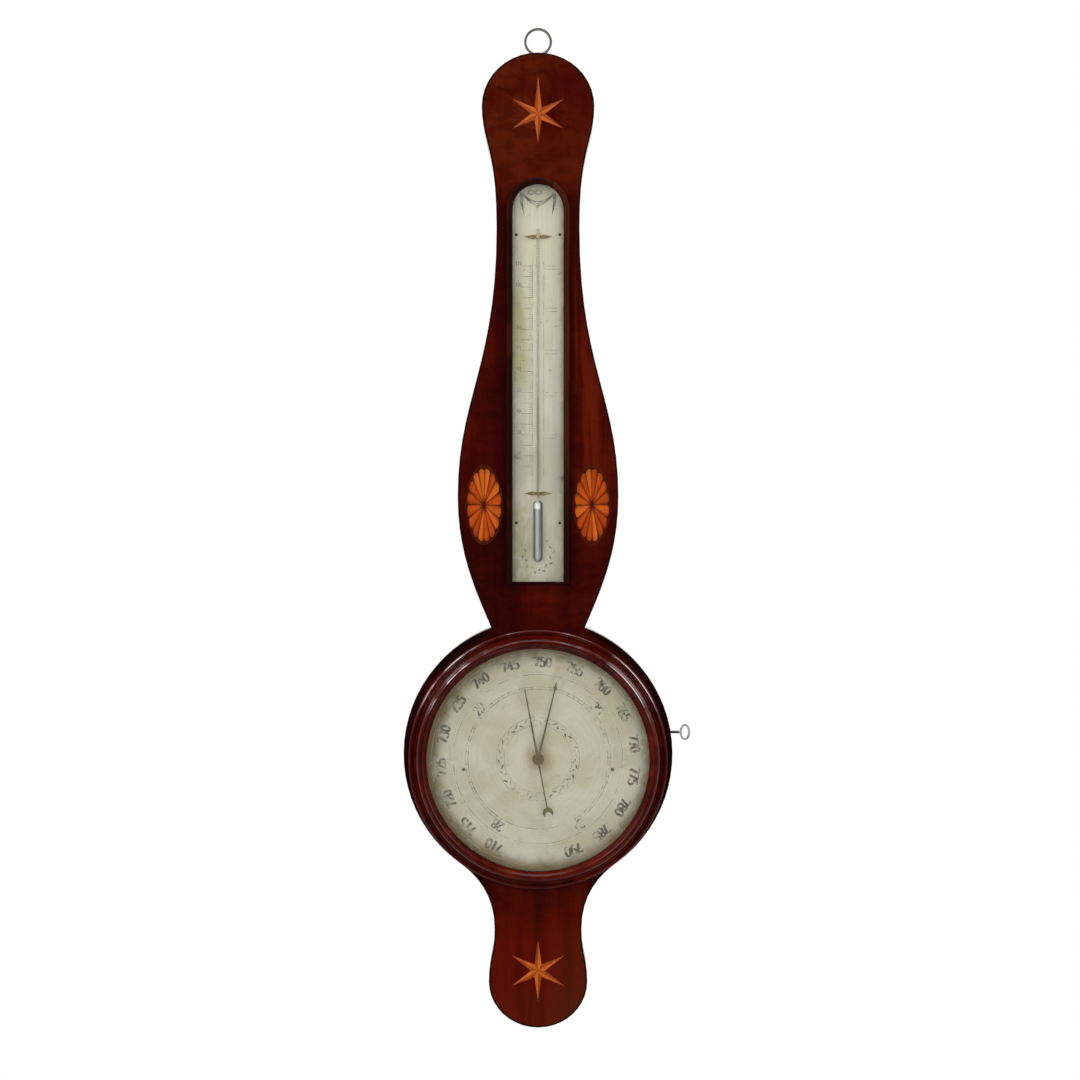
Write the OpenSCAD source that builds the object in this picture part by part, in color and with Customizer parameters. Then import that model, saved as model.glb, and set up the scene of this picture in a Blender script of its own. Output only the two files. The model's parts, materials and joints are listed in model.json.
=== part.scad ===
// Banjo wheel barometer: a case with a round dial, a boxed thermometer and a siphon tube.
// Millimetres. The wall is the plane y = 0 and the front faces -Y. Z is up.
// The origin is the centre of the hanging ring, on the wall.

/* [Case outline] */
// Height of the case
case_h = 892; // [870:1:920]
// Depth of the case from the wall to its front face
case_depth = 42; // [42:0.5:44]
// Thickness of the front veneer
veneer_t = 1.2; // [1:0.1:1.5]
// Centre of the hanging ring above the top of the case
ring_rise = 18; // [17:0.5:24]
// Width of the round head
head_w = 103; // [98:1:110]
// Drop from the top to the widest part of the head
head_drop = 49; // [46:1:54]
// Width of the neck
neck_w = 75.8; // [74:0.2:84]
// Drop from the top to the neck
neck_drop = 160; // [150:1:170]
// Width of the belly beside the thermometer
belly_w = 147; // [144:1:154]
// Height of the belly above the middle of the drum
belly_rise = 235.5; // [225:0.5:245]
// Width of the trunk where it meets the drum
join_w = 85.6; // [82:0.2:92]
// Width of the drum's flat rim round the bezel
drum_rim = 4.5; // [3:0.5:8]
// Height of the drum's middle above the hands
drum_lift = 5; // [3:0.5:6]
// Width of the waist under the drum
waist_w = 79.4; // [78:0.2:86]
// Height of the waist above the end of the case
waist_rise = 90; // [84:1:94]
// Width of the bulb foot
base_w = 90; // [88:1:98]
// Height of the widest part of the foot above the end of the case
base_rise = 42; // [38:1:46]

/* [Inlays] */
// Drop from the top to the middle of the head star
head_star_drop = 56; // [52:1:60]
// Length of the head star's upper ray
head_star_up = 35; // [30:1:38]
// Length of the head star's other rays
head_star_ray = 27; // [22:1:30]
// Height of the middle of the foot star above the end of the case
foot_star_rise = 52; // [48:1:56]
// Length of the foot star's rays
foot_star_ray = 28; // [22:1:30]
// Distance from a star's middle to the notch between its rays
star_notch = 6.4; // [4:0.2:8]
// Wood left between the thermometer's frame and a fan
fan_gap = 3.2; // [2.4:0.1:5]
// Height of an oval fan
fan_h = 73; // [66:1:78]
// Wood left between a fan and the edge of the case
fan_edge = 7.2; // [5:0.1:9]
// Distance of the fans below the belly
fan_fall = 8; // [2:1:14]
// Petals in a fan
petal_count = 16; // [12:4:20]

/* [Dial and bezel] */
// Height of the hands above the end of the case
dial_rise = 245.5; // [240:0.5:250]
// Diameter of the dial that shows
dial_view_d = 203; // [190:1:215]
// Thickness of the dial plate
dial_t = 1.2; // [1:0.1:1.4]
// Width of the bezel's moulding
bezel_w = 17; // [15:0.5:20]
// Height of the bezel above the case front
bezel_h = 16; // [15:0.5:18]
// Room for the hands between dial and glass
hand_room = 10.5; // [10:0.5:11.5]
// Thickness of the dial glass
glass_t = 2; // [1.5:0.1:2.2]
// Distance of each dial screw from the middle
dial_screw_x = 68; // [60:1:72]
// Distance of the dial screws below the middle
dial_screw_drop = 9.5; // [8:0.5:11]

/* [Hands] */
// Length of the indicator hand
indicator_len = 66.7; // [60:0.1:74]
// Length of the indicator hand's tail, to the middle of its crescent
tail_len = 49.2; // [44:0.1:54]
// Radius of the crescent
crescent_r = 4.8; // [4:0.1:5.5]
// Angle of the indicator hand from upright, clockwise
indicator_deg = -10.7; // [-20:0.1:0]
// Length of the set hand
set_len = 73; // [68:1:78]
// Angle of the set hand from upright, clockwise
set_deg = 13.5; // [5:0.5:25]
// Radius of the hub of the set hand
set_hub_r = 5.3; // [4.6:0.1:6]

/* [Setting drive] */
// Height of the key above the hands
worm_rise = 24.3; // [23.5:0.1:25.5]
// Pitch radius of the worm
worm_pitch_r = 2.7; // [2.6:0.05:2.8]
// Teeth on the worm wheel
wheel_teeth = 36; // [36:4:40]
// Length of the key that shows before its bow
key_shank = 8.5; // [7:0.5:11]
// Radius of the key's shank
key_r = 1.2; // [1:0.1:1.5]
// Width of the key's bow
bow_w = 9.6; // [9:0.1:11]
// Height of the key's bow
bow_h = 15; // [14:0.5:19]
// Thickness of the key's bow
bow_t = 2; // [1.4:0.1:2.2]

/* [Weather tube] */
// Outer diameter of the glass tubes
tube_d = 8; // [7.4:0.1:8]
// Bore of the glass tubes
tube_bore = 5.6; // [5.4:0.1:5.8]
// Radius of the thread on the pulley
pulley_r = 7.35; // [7.2:0.05:7.5]
// Distance of the long limb from the middle of the case
long_limb_x = 18; // [17.5:0.5:19]
// Drop from the top to the sealed end of the tube
tube_drop = 16; // [14:1:20]
// Drop from the top to the upper end of the mercury
mercury_drop = 42; // [40:1:46]
// Height of the tube's bend above the end of the case
bend_rise = 68; // [66:1:72]
// Height of the float's mercury above the bend
float_rise = 35.4; // [33:0.2:38]
// Drop from the hands to the open end of the short limb
short_limb_drop = 100.5; // [98:0.5:104]
// Drop from the hands to the middle of the counterweight
counter_drop = 110.5; // [108:0.5:112]
// Length of the counterweight's tube
counter_tube_len = 77; // [75:1:82]
// Length of the float
float_len = 20; // [16:1:22]
// Length of the counterweight
counter_len = 22; // [18:1:24]

/* [Thermometer] */
// Width of the scale plate that shows
thermo_w = 46.7; // [44:0.1:47]
// Gap between the scale plate and the drum
thermo_gap = 34.4; // [28:0.2:40]
// Drop from the top to the arch of the scale plate
thermo_drop = 120.3; // [118:0.1:124]
// Width of the frame around it
thermo_frame_w = 5.8; // [5.4:0.1:6.3]
// Height of the sill below it
sill_h = 2.2; // [1.8:0.1:4]
// Height of the frame above the case front
thermo_frame_h = 3; // [2.5:0.5:4]
// Radius of the thermometer tube
stem_r = 1.6; // [1.4:0.1:1.8]
// Radius of the thermometer bulb
bulb_r = 4.4; // [4:0.1:4.8]
// Length of the thermometer bulb
bulb_len = 57; // [50:1:60]
// Height of the thermometer's mercury above the foot of its bulb
thermo_column = 150; // [100:5:200]

/* [Back] */
// Thickness of the back door
door_t = 5; // [4.5:0.1:5.5]
// Width of the case's rim round the back door
door_rim = 15.5; // [14.5:0.5:17]
// Thickness of the channel covers
cover_t = 4; // [3:0.5:4.5]
// Radius of the hole in the hanging ring
ring_r = 10.8; // [10:0.1:11.5]
// Width of the ring's metal
ring_wall = 2.2; // [2:0.1:2.6]
// Thickness of the hanging plate
hanger_t = 2; // [1.6:0.1:2.4]

/* [Hidden] */
$fn = 48;
// Play between pieces that only lie in each other
fit = 0.2;
// Play of a shaft in its bearing
run = 0.05;
// Overshoot of a cutter
eps = 0.5;
// Length of a cutter that goes right through
through = 60;

// Screws
screw_r = 1;
screw_head_r = 1.9;
movement_screw_len = 6;
cock_screw_len = 8;
strap_screw_len = 10;
cover_screw_len = 9;
hanger_screw_len = 12;
case_leaf_screw_len = 6;
door_leaf_screw_len = 4.4;

// Heights
top_z = -ring_rise;
low_z = top_z - case_h;
dial_z = low_z + dial_rise;
lip_r = dial_view_d / 2;
drum_z = dial_z + drum_lift;
drum_r = lip_r + bezel_w + drum_rim;
drum_top_z = drum_z + drum_r;
belly_z = drum_z + belly_rise;
waist_z = low_z + waist_rise;
base_z = low_z + base_rise;
head_star_z = top_z - head_star_drop;
foot_star_z = low_z + foot_star_rise;
fan_w = belly_w / 2 - thermo_w / 2 - thermo_frame_w - fan_gap - fan_edge;
fan_x = belly_w / 2 - fan_edge - fan_w / 2;
fan_z = belly_z - fan_fall;

// Depths, from the front to the wall
front_y = -case_depth;
veneer_y = front_y + veneer_t;
dial_front_y = front_y + 1;
dial_back_y = dial_front_y + dial_t;
glass_back_y = dial_front_y - hand_room;
glass_front_y = glass_back_y - glass_t;
worm_y = dial_back_y + 4.8;
plate_y = dial_back_y + 9.3;
plate_back_y = plate_y + 2;
pulley_y = -16;
cock_y = -11;
cock_back_y = -9;
cock_reach = 17;
pillar_r = 3.5;
cock_pillar_r = 2.6;
spigot_r = 1.5;
hand_t = 0.8;

// Dial, glass and cavity radii
dial_r = lip_r + 4;
dial_hole_r = 3.2;
cavity_r = lip_r + 1.5;
back_wall = 8;

// Weather tube
tube_r = tube_d / 2;
bore_r = tube_bore / 2;
weld_h = 1;
weld_rise = 0.1;
long_x = -long_limb_x;
bend_x = (pulley_r + long_x) / 2;
bend_r = (pulley_r - long_x) / 2;
bend_z = low_z + bend_rise;
tube_top_z = top_z - tube_drop;
short_top_z = dial_z - short_limb_drop;
mercury_top_z = top_z - mercury_drop;
mercury_low_z = bend_z + float_rise;
top_mercury_z = mercury_top_z - 40;
counter_z = dial_z - counter_drop;
counter_tube_z = counter_z - counter_tube_len / 2 - 1.5;
channel_y = pulley_y - tube_r - 0.3;
channel_half = 8;
channel_top_z = top_z - 44;
channel_low_z = dial_z + lip_r - 20;
tail_low_z = bend_z - bend_r - tube_r - 2;
tail_right = pulley_r + 10;
ledge = 4;
strap_y = pulley_y + tube_r + 0.3;
strap_h = 8;
strap_first_z = channel_top_z - 86;
strap_last_z = drum_top_z + 28.5;
strap_zs = [strap_first_z, (strap_first_z + strap_last_z) / 2, strap_last_z];
tail_strap_z = bend_z + 42.5;
cover_first_z = channel_top_z - 18;
cover_last_z = drum_top_z + 8.5;
cover_zs = [for (i = [0:3]) cover_first_z + (cover_last_z - cover_first_z) * i / 3];
tail_cover_zs = [tail_strap_z - 20, tail_low_z + 6.2];

// Worm and wheel
wheel_pitch_r = worm_rise - worm_pitch_r;
worm_pitch = 2 * PI * wheel_pitch_r / wheel_teeth;
worm_turns = 3;
worm_tip_r = worm_pitch_r + 0.9;
worm_root_r = worm_pitch_r - 1;
wheel_tip_r = wheel_pitch_r + 0.8;
wheel_root_r = wheel_pitch_r - 1.3;
wheel_t = 1.6;
worm_z = dial_z + worm_rise;
lug_x = worm_pitch * worm_turns / 2 + 0.5;
lug_drop = 2.2;
lug_t = 2;
bracket_t = 1.2;
arbor_r = 1;
pipe_r = 2.25;
pipe_back_y = worm_y + 2.6;
pipe_front_y = dial_front_y - 4;
worm_arbor_r = 1.3;
socket_r = 2.2;
socket_len = 20;
prong = 1.4;
bush_r = 3.4;
bush_len = 19;
flange_r = 4.6;
drum_edge_x = sqrt(drum_r * drum_r - pow(worm_z - drum_z, 2));
bush_x = drum_edge_x - 2;
socket_x = bush_x - 21;
bow_x = drum_edge_x + key_shank + bow_w / 2;

// Thermometer
thermo_top_z = top_z - thermo_drop;
thermo_low_z = drum_top_z + thermo_gap;
pocket_depth = 13;
pocket_y = front_y + pocket_depth;
scale_y = pocket_y - 1;
stem_y = scale_y - 3;
thermo_glass_y = front_y + 1.5;
thermo_rim = 1.6;
sill_share = sill_h / thermo_frame_w;
spring_z = thermo_top_z - thermo_w / 2;
bulb_low_z = thermo_low_z + 18;
stem_top_z = thermo_top_z - 40;
clip_zs = [thermo_top_z - 47, bulb_low_z + bulb_len + 5.8];
thermo_screw_zs = [thermo_top_z - 45, thermo_low_z + 53.8];
clip_w = 26.5;
bulb_wall = 0.25;
bulb_room = 0.6;
bulb_back_y = stem_y + bulb_r + bulb_room;
thread_r = 0.45;

// Back door, hinges and turn button
door_r = drum_r - door_rim;
hinge_x = 25.9 - door_r;
hinge_y = -1.6;
knuckle_r = 1.4;
hinge_pin_r = 0.7;
hinge_gap = 2.2;
leaf_t = 1.2;
leaf_w = 12;
leaf_h = 26;
knuckle_h = 8.4;
hinge_rises = [-45, 45];
door_edge_x = hinge_x + 1.8;
recess_edge_x = hinge_x - hinge_gap;
button_x = door_r + 7.5;
button_len = 13;
button_w = 7;
button_t = 1.8;
button_pocket = 3;
button_screw_r = 1.5;

// Hanging plate
hanger_w = 22;
hanger_h = 32;
hanger_drop = 8;
hanger_neck_w = 10;

// Points of a smooth curve from a to d, drawn towards b and c, without the point a.
function curve(a, b, c, d, n) = [for (i = [1:n])
    let (t = i / n, u = 1 - t)
    u * u * u * a + 3 * u * u * t * b + 3 * u * t * t * c + t * t * t * d];

// Points of an arc round a centre, from one angle to another.
function arc(cx, cz, rx, rz, a0, a1, n) = [for (i = [0:n])
    let (a = a0 + (a1 - a0) * i / n)
    [cx + rx * cos(a), cz + rz * sin(a)]];

// Right half of the case outline, from the top down.
join_a = acos(join_w / 2 / drum_r);
flare_a = -54.4;
head_p = [head_w / 2, top_z - head_drop];
neck_p = [neck_w / 2, top_z - neck_drop];
belly_p = [belly_w / 2, belly_z];
join_p = [join_w / 2, drum_z + drum_r * sin(join_a)];
flare_p = [drum_r * cos(flare_a), drum_z + drum_r * sin(flare_a)];
waist_p = [waist_w / 2, waist_z];
base_p = [base_w / 2, base_z];
neck_span = neck_drop - head_drop;
belly_span = neck_p[1] - belly_z;
join_span = belly_p[1] - join_p[1];
base_span = waist_z - base_z;
half_outline = concat(
    arc(0, head_p[1], head_w / 2, head_drop, 90, 0, 10),
    curve(head_p, head_p - [0, 0.29 * neck_span], neck_p + [0, 0.66 * neck_span], neck_p, 10),
    curve(neck_p, neck_p - [0, 0.52 * belly_span], belly_p + [0, 0.37 * belly_span], belly_p, 14),
    curve(belly_p, belly_p - [0, 0.42 * join_span], join_p + 0.3 * join_span * [0.43, 1], join_p, 10),
    arc(0, drum_z, drum_r, drum_r, join_a - 4, flare_a, 24),
    curve(flare_p, flare_p + 11 * [-1.4, -1], waist_p + [0, 32], waist_p, 8),
    curve(waist_p, waist_p - [0, 0.47 * base_span], base_p + [0, 0.47 * base_span], base_p, 6),
    [for (p = arc(0, base_z, base_w / 2, base_rise, 0, -90, 10)) if (p[1] < base_z) p]);
last = len(half_outline) - 1;
case_outline = concat(half_outline,
    [for (i = [last - 1:-1:1]) [-half_outline[i][0], half_outline[i][1]]]);

// Arched outline of the thermometer, grown by d, and by a share of d at its sill.
function arch(d) = concat(
    arc(0, spring_z, thermo_w / 2 + d, thermo_w / 2 + d, 0, 180, 28),
    [[-thermo_w / 2 - d, thermo_low_z - sill_share * d],
        [thermo_w / 2 + d, thermo_low_z - sill_share * d]]);

// Tip of a star's ray k of six. Ray 1 points up and has its own length.
function ray_tip(k, up, ray) = (k == 1 ? up : ray) * [cos(k * 60 + 30), sin(k * 60 + 30)];
// Corner between two rays of a star, at turn k of six.
function notch_at(k) = star_notch * [cos(k * 60), sin(k * 60)];

// Point on an oval fan at an angle, as a share of its size.
function oval(a, s) = s * [fan_w / 2 * cos(a), fan_h / 2 * sin(a)];

// A flat shape drawn in X and Z, with its back face at depth y.
module slab(y, t) {
    translate([0, y, 0]) rotate([90, 0, 0]) linear_extrude(t) children();
}

// A round rod along Y, with its back end at depth y.
module rod_y(x, y, z, r, len) {
    translate([x, y, z]) rotate([90, 0, 0]) cylinder(r = r, h = len);
}

// A round rod along X, from its left end.
module rod_x(x, y, z, r, len) {
    translate([x, y, z]) rotate([0, 90, 0]) cylinder(r = r, h = len);
}

// A turned shape on the axis of the hands. Its profile's height runs to the front.
module turned(y) {
    translate([0, y, dial_z]) rotate([90, 0, 0]) rotate_extrude($fn = 120) children();
}

// A countersunk screw that points to the front, without its slot.
module screw_hole(x, y, z, len) {
    rod_y(x, y, z, screw_r, len);
    translate([x, y, z]) rotate([90, 0, 0]) cylinder(r1 = screw_head_r, r2 = screw_r, h = 1);
}

// The same screw with its slot.
module screw(x, y, z, len) {
    difference() {
        screw_hole(x, y, z, len);
        translate([x - 3, y - 0.4, z - 0.25]) cube([6, 1, 0.5]);
    }
}

// A round-headed screw that points to the wall, its head on a face at depth y.
module front_screw(x, y, z, head_r, len) {
    difference() {
        union() {
            rod_y(x, y, z, head_r, 0.7);
            rod_y(x, y + len, z, screw_r, len);
        }
        translate([x - head_r, y - 1, z - 0.2]) cube([2 * head_r, 0.7, 0.4]);
    }
}

// Disc behind the dial, cut straight on the hinge side.
module hinged_disc(r, left) {
    translate([0, dial_z]) intersection() {
        circle(r, $fn = 120);
        translate([left, -r]) square(2 * r);
    }
}

// Room that the turn button sweeps.
module button_sweep() {
    translate([button_x, drum_z]) {
        circle(button_w / 2 + 1);
        intersection() {
            circle(button_len + 0.8);
            translate([-button_len - 1, -button_w / 2 - 0.7])
                square([button_len + button_w / 2 + 1.7, button_len + button_w]);
        }
    }
}

// Covers of the tube channel, grown by g all round.
module cover_shape(g) {
    difference() {
        translate([long_x - channel_half - ledge - g, dial_z])
            square([2 * (channel_half + ledge + g), channel_top_z - dial_z + g]);
        hinged_disc(door_r + 0.8 - g, -door_r - 1);
    }
    difference() {
        translate([long_x - channel_half - ledge - g, tail_low_z - ledge - g])
            square([tail_right - long_x + channel_half + 2 * (ledge + g), dial_z - tail_low_z]);
        hinged_disc(door_r + 0.8 - g, -door_r - 1);
    }
}

strap_left = long_x - channel_half - ledge + fit;
strap_w = 2 * (channel_half + ledge - fit);
tail_strap_w = tail_right + ledge - fit - strap_left;

// Flat straps behind the tubes, grown by g.
module strap_shape(g) {
    for (z = strap_zs)
        translate([strap_left - g, z - strap_h / 2 - g]) square([strap_w + 2 * g, strap_h + 2 * g]);
    translate([strap_left - g, tail_strap_z - strap_h / 2 - g])
        square([tail_strap_w + 2 * g, strap_h + 2 * g]);
}

module each_strap_screw() {
    for (z = strap_zs, s = [-1, 1])
        translate([long_x + s * (channel_half + 2), strap_y + 1, z]) children();
    for (x = [long_x - channel_half - 2, tail_right + 2])
        translate([x, strap_y + 1, tail_strap_z]) children();
}

module each_cover_screw() {
    for (z = cover_zs, s = [-1, 1])
        translate([long_x + s * (channel_half + 2), 0, z]) children();
    for (x = [long_x - channel_half - 2, tail_right + 2], z = tail_cover_zs)
        translate([x, 0, z]) children();
}

module each_hanger_screw() {
    for (p = [[-6, -16], [6, -16], [0, -32]])
        translate([p[0], 0, top_z + p[1]]) children();
}

module each_hinge_screw(side) {
    for (h = hinge_rises, s = [-8, 8])
        translate([hinge_x + side * 7.5, 0, dial_z + h + s]) children();
}

module each_thermo_screw() {
    for (s = [-1, 1], z = thermo_screw_zs)
        translate([s * (thermo_w / 2 - 3.35), scale_y, z]) children();
}

// Case
module case_carcase() {
    color("saddlebrown") difference() {
        slab(0, case_depth - veneer_t) polygon(case_outline);
        rod_y(0, dial_back_y, dial_z, dial_r + fit, 10);
        rod_y(0, -back_wall, dial_z, cavity_r, case_depth);
        slab(eps, back_wall + 1) hinged_disc(cavity_r, recess_edge_x + 5);
        slab(eps, door_t + eps) hinged_disc(door_r + 0.5, recess_edge_x);
        translate([long_x - channel_half, channel_y, channel_low_z])
            cube([2 * channel_half, 30, channel_top_z - channel_low_z]);
        translate([long_x, pulley_y, channel_top_z - 1])
            cylinder(r = tube_r + 0.3, h = tube_top_z - channel_top_z + 4);
        translate([long_x - channel_half, channel_y, tail_low_z])
            cube([tail_right - long_x + channel_half, 30, dial_z - lip_r + 20 - tail_low_z]);
        slab(eps, cover_t + eps) cover_shape(fit);
        slab(eps, eps - strap_y) strap_shape(fit);
        slab(pocket_y, 20) polygon(arch(thermo_frame_w));
        slab(bulb_back_y, bulb_back_y - pocket_y + eps) bulb_slot();
        rod_x(lip_r - 20, worm_y, worm_z, bush_r, through);
        rod_x(bush_x, worm_y, worm_z, flange_r, 20);
        slab(eps, hanger_t + eps) hanger_shape(fit);
        slab(eps, button_pocket + eps) button_sweep();
        rod_y(button_x, 0, drum_z, button_screw_r, 14);
        slab(eps, leaf_t + eps) for (h = hinge_rises)
            translate([hinge_x - leaf_w, dial_z + h - leaf_h / 2]) square([leaf_w, leaf_h]);
        each_strap_screw() screw_hole(0, 0, 0, strap_screw_len);
        each_cover_screw() screw_hole(0, 0, 0, cover_screw_len);
        each_hanger_screw() screw_hole(0, 0, 0, hanger_screw_len);
        each_hinge_screw(-1) screw_hole(0, 0, 0, case_leaf_screw_len);
        each_thermo_screw() rod_y(0, 6, 0, 1, 6);
    }
}

module star_shape(z, up, ray) {
    translate([0, z]) polygon([for (k = [0:5], i = [0:1]) i == 0 ? notch_at(k) : ray_tip(k, up, ray)]);
}

module star_half(z, up, ray, side) {
    for (k = [0:5])
        slab(veneer_y, veneer_t) translate([0, z])
            polygon([[0, 0], notch_at(side == 0 ? k : k + 1), ray_tip(k, up, ray)]);
}

module front_veneer() {
    color("maroon") difference() {
        slab(veneer_y, veneer_t) polygon(case_outline);
        rod_y(0, 0, dial_z, dial_r + fit, through);
        slab(0, through) polygon(arch(thermo_frame_w));
        slab(0, through) star_shape(head_star_z, head_star_up, head_star_ray);
        slab(0, through) star_shape(foot_star_z, foot_star_ray, foot_star_ray);
        for (s = [-1, 1])
            slab(0, through) translate([s * fan_x, fan_z]) polygon([for (a = [0:7.5:359]) oval(a, 1)]);
        rod_x(bush_x, worm_y, worm_z, flange_r, 20);
    }
}

module star_light_rays() {
    color("sandybrown") {
        star_half(head_star_z, head_star_up, head_star_ray, 0);
        star_half(foot_star_z, foot_star_ray, foot_star_ray, 0);
    }
}

module star_shaded_rays() {
    color("peru") {
        star_half(head_star_z, head_star_up, head_star_ray, 1);
        star_half(foot_star_z, foot_star_ray, foot_star_ray, 1);
    }
}

// Oval ground with a raised rim round the petals
module fan_grounds() {
    color("brown") for (s = [-1, 1]) difference() {
        slab(veneer_y, veneer_t) translate([s * fan_x, fan_z])
            polygon([for (a = [0:7.5:359]) oval(a, 1)]);
        slab(veneer_y - veneer_t / 2, veneer_t) translate([s * fan_x, fan_z])
            polygon([for (a = [0:7.5:359]) oval(a, 0.93)]);
    }
}

// One rounded petal between two dark lines
module petal(k) {
    step = 360 / petal_count;
    a0 = k * step + 0.9;
    a1 = (k + 1) * step - 0.9;
    am = (a0 + a1) / 2;
    polygon([oval(am, 0.07), oval(a0, 0.4), oval(a0, 0.865), oval((a0 + am) / 2, 0.91), oval(am, 0.92),
        oval((a1 + am) / 2, 0.91), oval(a1, 0.865), oval(a1, 0.4)]);
}

module fan_petals() {
    color("orange") for (s = [-1, 1], k = [0:petal_count - 1])
        slab(veneer_y - veneer_t / 2, veneer_t / 2)
            translate([s * fan_x, fan_z]) petal(k);
}

// Dial, bezel and glass
module bezel() {
    bore = dial_r + 0.1;
    seat = front_y - glass_front_y;
    outer = lip_r + bezel_w;
    lip_w = 1.1;
    lip_h = bezel_h - 3.2;
    bead_r = 0.137 * bezel_w;
    cove_w = 0.15 * bezel_w;
    crown_r = (bezel_w - lip_w - 2 * bead_r - cove_w) / 2;
    crown_x = lip_r + lip_w + crown_r;
    crown_rise = 0.44 * bezel_h;
    cove_h = bezel_h - crown_rise - 4.4;
    color("brown") turned(front_y) polygon(concat(
        [[bore, 0], [outer, 0]],
        arc(outer - bead_r, 3.4, bead_r, bead_r, 0, 150, 8),
        arc(crown_x + crown_r + cove_w, 4.4 + cove_h, cove_w, cove_h, 270, 180, 5),
        arc(crown_x, bezel_h - crown_rise, crown_r, crown_rise, 12, 144, 12),
        [[lip_r + lip_w, lip_h], [lip_r, lip_h - 0.4], [lip_r, seat], [bore, seat]]));
}

module bezel_glass() {
    color("lightcyan", 0.3) rod_y(0, glass_back_y, dial_z, dial_r, glass_t, $fn = 120);
}

module dial_spacer() {
    color("dimgray") turned(dial_front_y) translate([lip_r + 0.8, 0])
        square([dial_r - lip_r - 0.8, hand_room]);
}

module dial_plate() {
    color("lightgray") difference() {
        rod_y(0, dial_back_y, dial_z, dial_r, dial_t, $fn = 120);
        rod_y(0, 0, dial_z, dial_hole_r, through);
        for (s = [-1, 1]) rod_y(s * dial_screw_x, 0, dial_z - dial_screw_drop, screw_r, through);
    }
}

module dial_screws() {
    color("gray") for (s = [-1, 1])
        front_screw(s * dial_screw_x, dial_front_y, dial_z - dial_screw_drop, 1.6, dial_t + 4);
}

module centre_bush() {
    color("goldenrod") turned(dial_back_y + 1) polygon([[pipe_r + run, 0], [5, 0], [5, 1], [dial_hole_r, 1],
        [dial_hole_r, dial_t + 1], [pipe_r + run, dial_t + 1]]);
}

// Movement behind the dial
module movement_pillars() {
    color("goldenrod") for (s = [-1, 1]) difference() {
        rod_y(s * dial_screw_x, plate_y, dial_z - dial_screw_drop, pillar_r, plate_y - dial_back_y);
        rod_y(s * dial_screw_x, 0, dial_z - dial_screw_drop, screw_r, through);
    }
}

module movement_plate() {
    color("gold") difference() {
        slab(plate_back_y, plate_back_y - plate_y) translate([0, dial_z]) {
            translate([-dial_screw_x - 8, -dial_screw_drop - 8]) square([2 * dial_screw_x + 16, 16]);
            circle(24);
        }
        rod_y(0, 0, dial_z, arbor_r + run, through);
        for (s = [-1, 1]) rod_y(s * dial_screw_x, 0, dial_z - dial_screw_drop, screw_r, through);
        for (s = [-1, 1]) rod_y(0, 0, dial_z + s * cock_reach, spigot_r, through);
        movement_screw_holes();
    }
}

module movement_screw_holes() {
    for (s = [-1, 1])
        screw_hole(s * dial_screw_x, plate_back_y, dial_z - dial_screw_drop, movement_screw_len);
}

module movement_screws() {
    color("gray") for (s = [-1, 1])
        screw(s * dial_screw_x, plate_back_y, dial_z - dial_screw_drop, movement_screw_len);
}

module cock_pillars() {
    color("goldenrod") for (s = [-1, 1]) difference() {
        union() {
            rod_y(0, cock_y, dial_z + s * cock_reach, cock_pillar_r, cock_y - plate_back_y);
            rod_y(0, plate_back_y, dial_z + s * cock_reach, spigot_r, plate_back_y - plate_y);
        }
        rod_y(0, cock_back_y, dial_z + s * cock_reach, screw_r, cock_screw_len);
    }
}

module pulley_cock() {
    color("gold") difference() {
        slab(cock_back_y, cock_back_y - cock_y) translate([0, dial_z]) {
            translate([-4, -cock_reach]) square([8, 2 * cock_reach]);
            for (s = [-1, 1]) translate([0, s * cock_reach]) circle(4);
            circle(6);
        }
        rod_y(0, 0, dial_z, arbor_r + run, through);
        for (s = [-1, 1]) screw_hole(0, cock_back_y, dial_z + s * cock_reach, cock_screw_len);
    }
}

module cock_screws() {
    color("gray") for (s = [-1, 1]) screw(0, cock_back_y, dial_z + s * cock_reach, cock_screw_len);
}

// Set-hand drive
module worm_bracket() {
    color("goldenrod") difference() {
        union() {
            translate([-lug_x - lug_t, dial_back_y, worm_z + 5]) cube([2 * (lug_x + lug_t), bracket_t, 8]);
            for (x = [-lug_x - lug_t, lug_x])
                translate([x, dial_back_y, worm_z - lug_drop]) cube([lug_t, 8.6, lug_drop + 13]);
        }
        rod_x(-through / 2, worm_y, worm_z, worm_arbor_r + run, through);
    }
}

module side_bush() {
    color("goldenrod") difference() {
        union() {
            rod_x(bush_x - bush_len, worm_y, worm_z, bush_r, bush_len);
            rod_x(bush_x, worm_y, worm_z, flange_r, 1);
        }
        rod_x(lip_r - 20, worm_y, worm_z, socket_r + run, through);
    }
}

module worm_arbor() {
    color("gray") difference() {
        union() {
            rod_x(-lug_x - lug_t - eps, worm_y, worm_z, worm_arbor_r, socket_x + lug_x + 5);
            rod_x(socket_x, worm_y, worm_z, socket_r, socket_len);
        }
        translate([socket_x + 8, worm_y - prong / 2 - run, worm_z - prong / 2 - run])
            cube([socket_len, prong + 2 * run, prong + 2 * run]);
    }
}

// Radius of the worm's section at an angle from the middle of its thread
function worm_r(a) = worm_root_r + (worm_tip_r - worm_root_r) * min(1, max(0, (98 - abs(a)) / 66));

module worm() {
    color("darkgoldenrod") difference() {
        translate([-worm_pitch * worm_turns / 2, worm_y, worm_z]) rotate([0, 90, 0])
            linear_extrude(worm_pitch * worm_turns, twist = -360 * worm_turns, slices = 10 * worm_turns)
                polygon([for (a = [-180:22.5:160]) worm_r(a) * [cos(a), sin(a)]]);
        rod_x(-through / 2, worm_y, worm_z, worm_arbor_r, through);
    }
}

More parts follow.
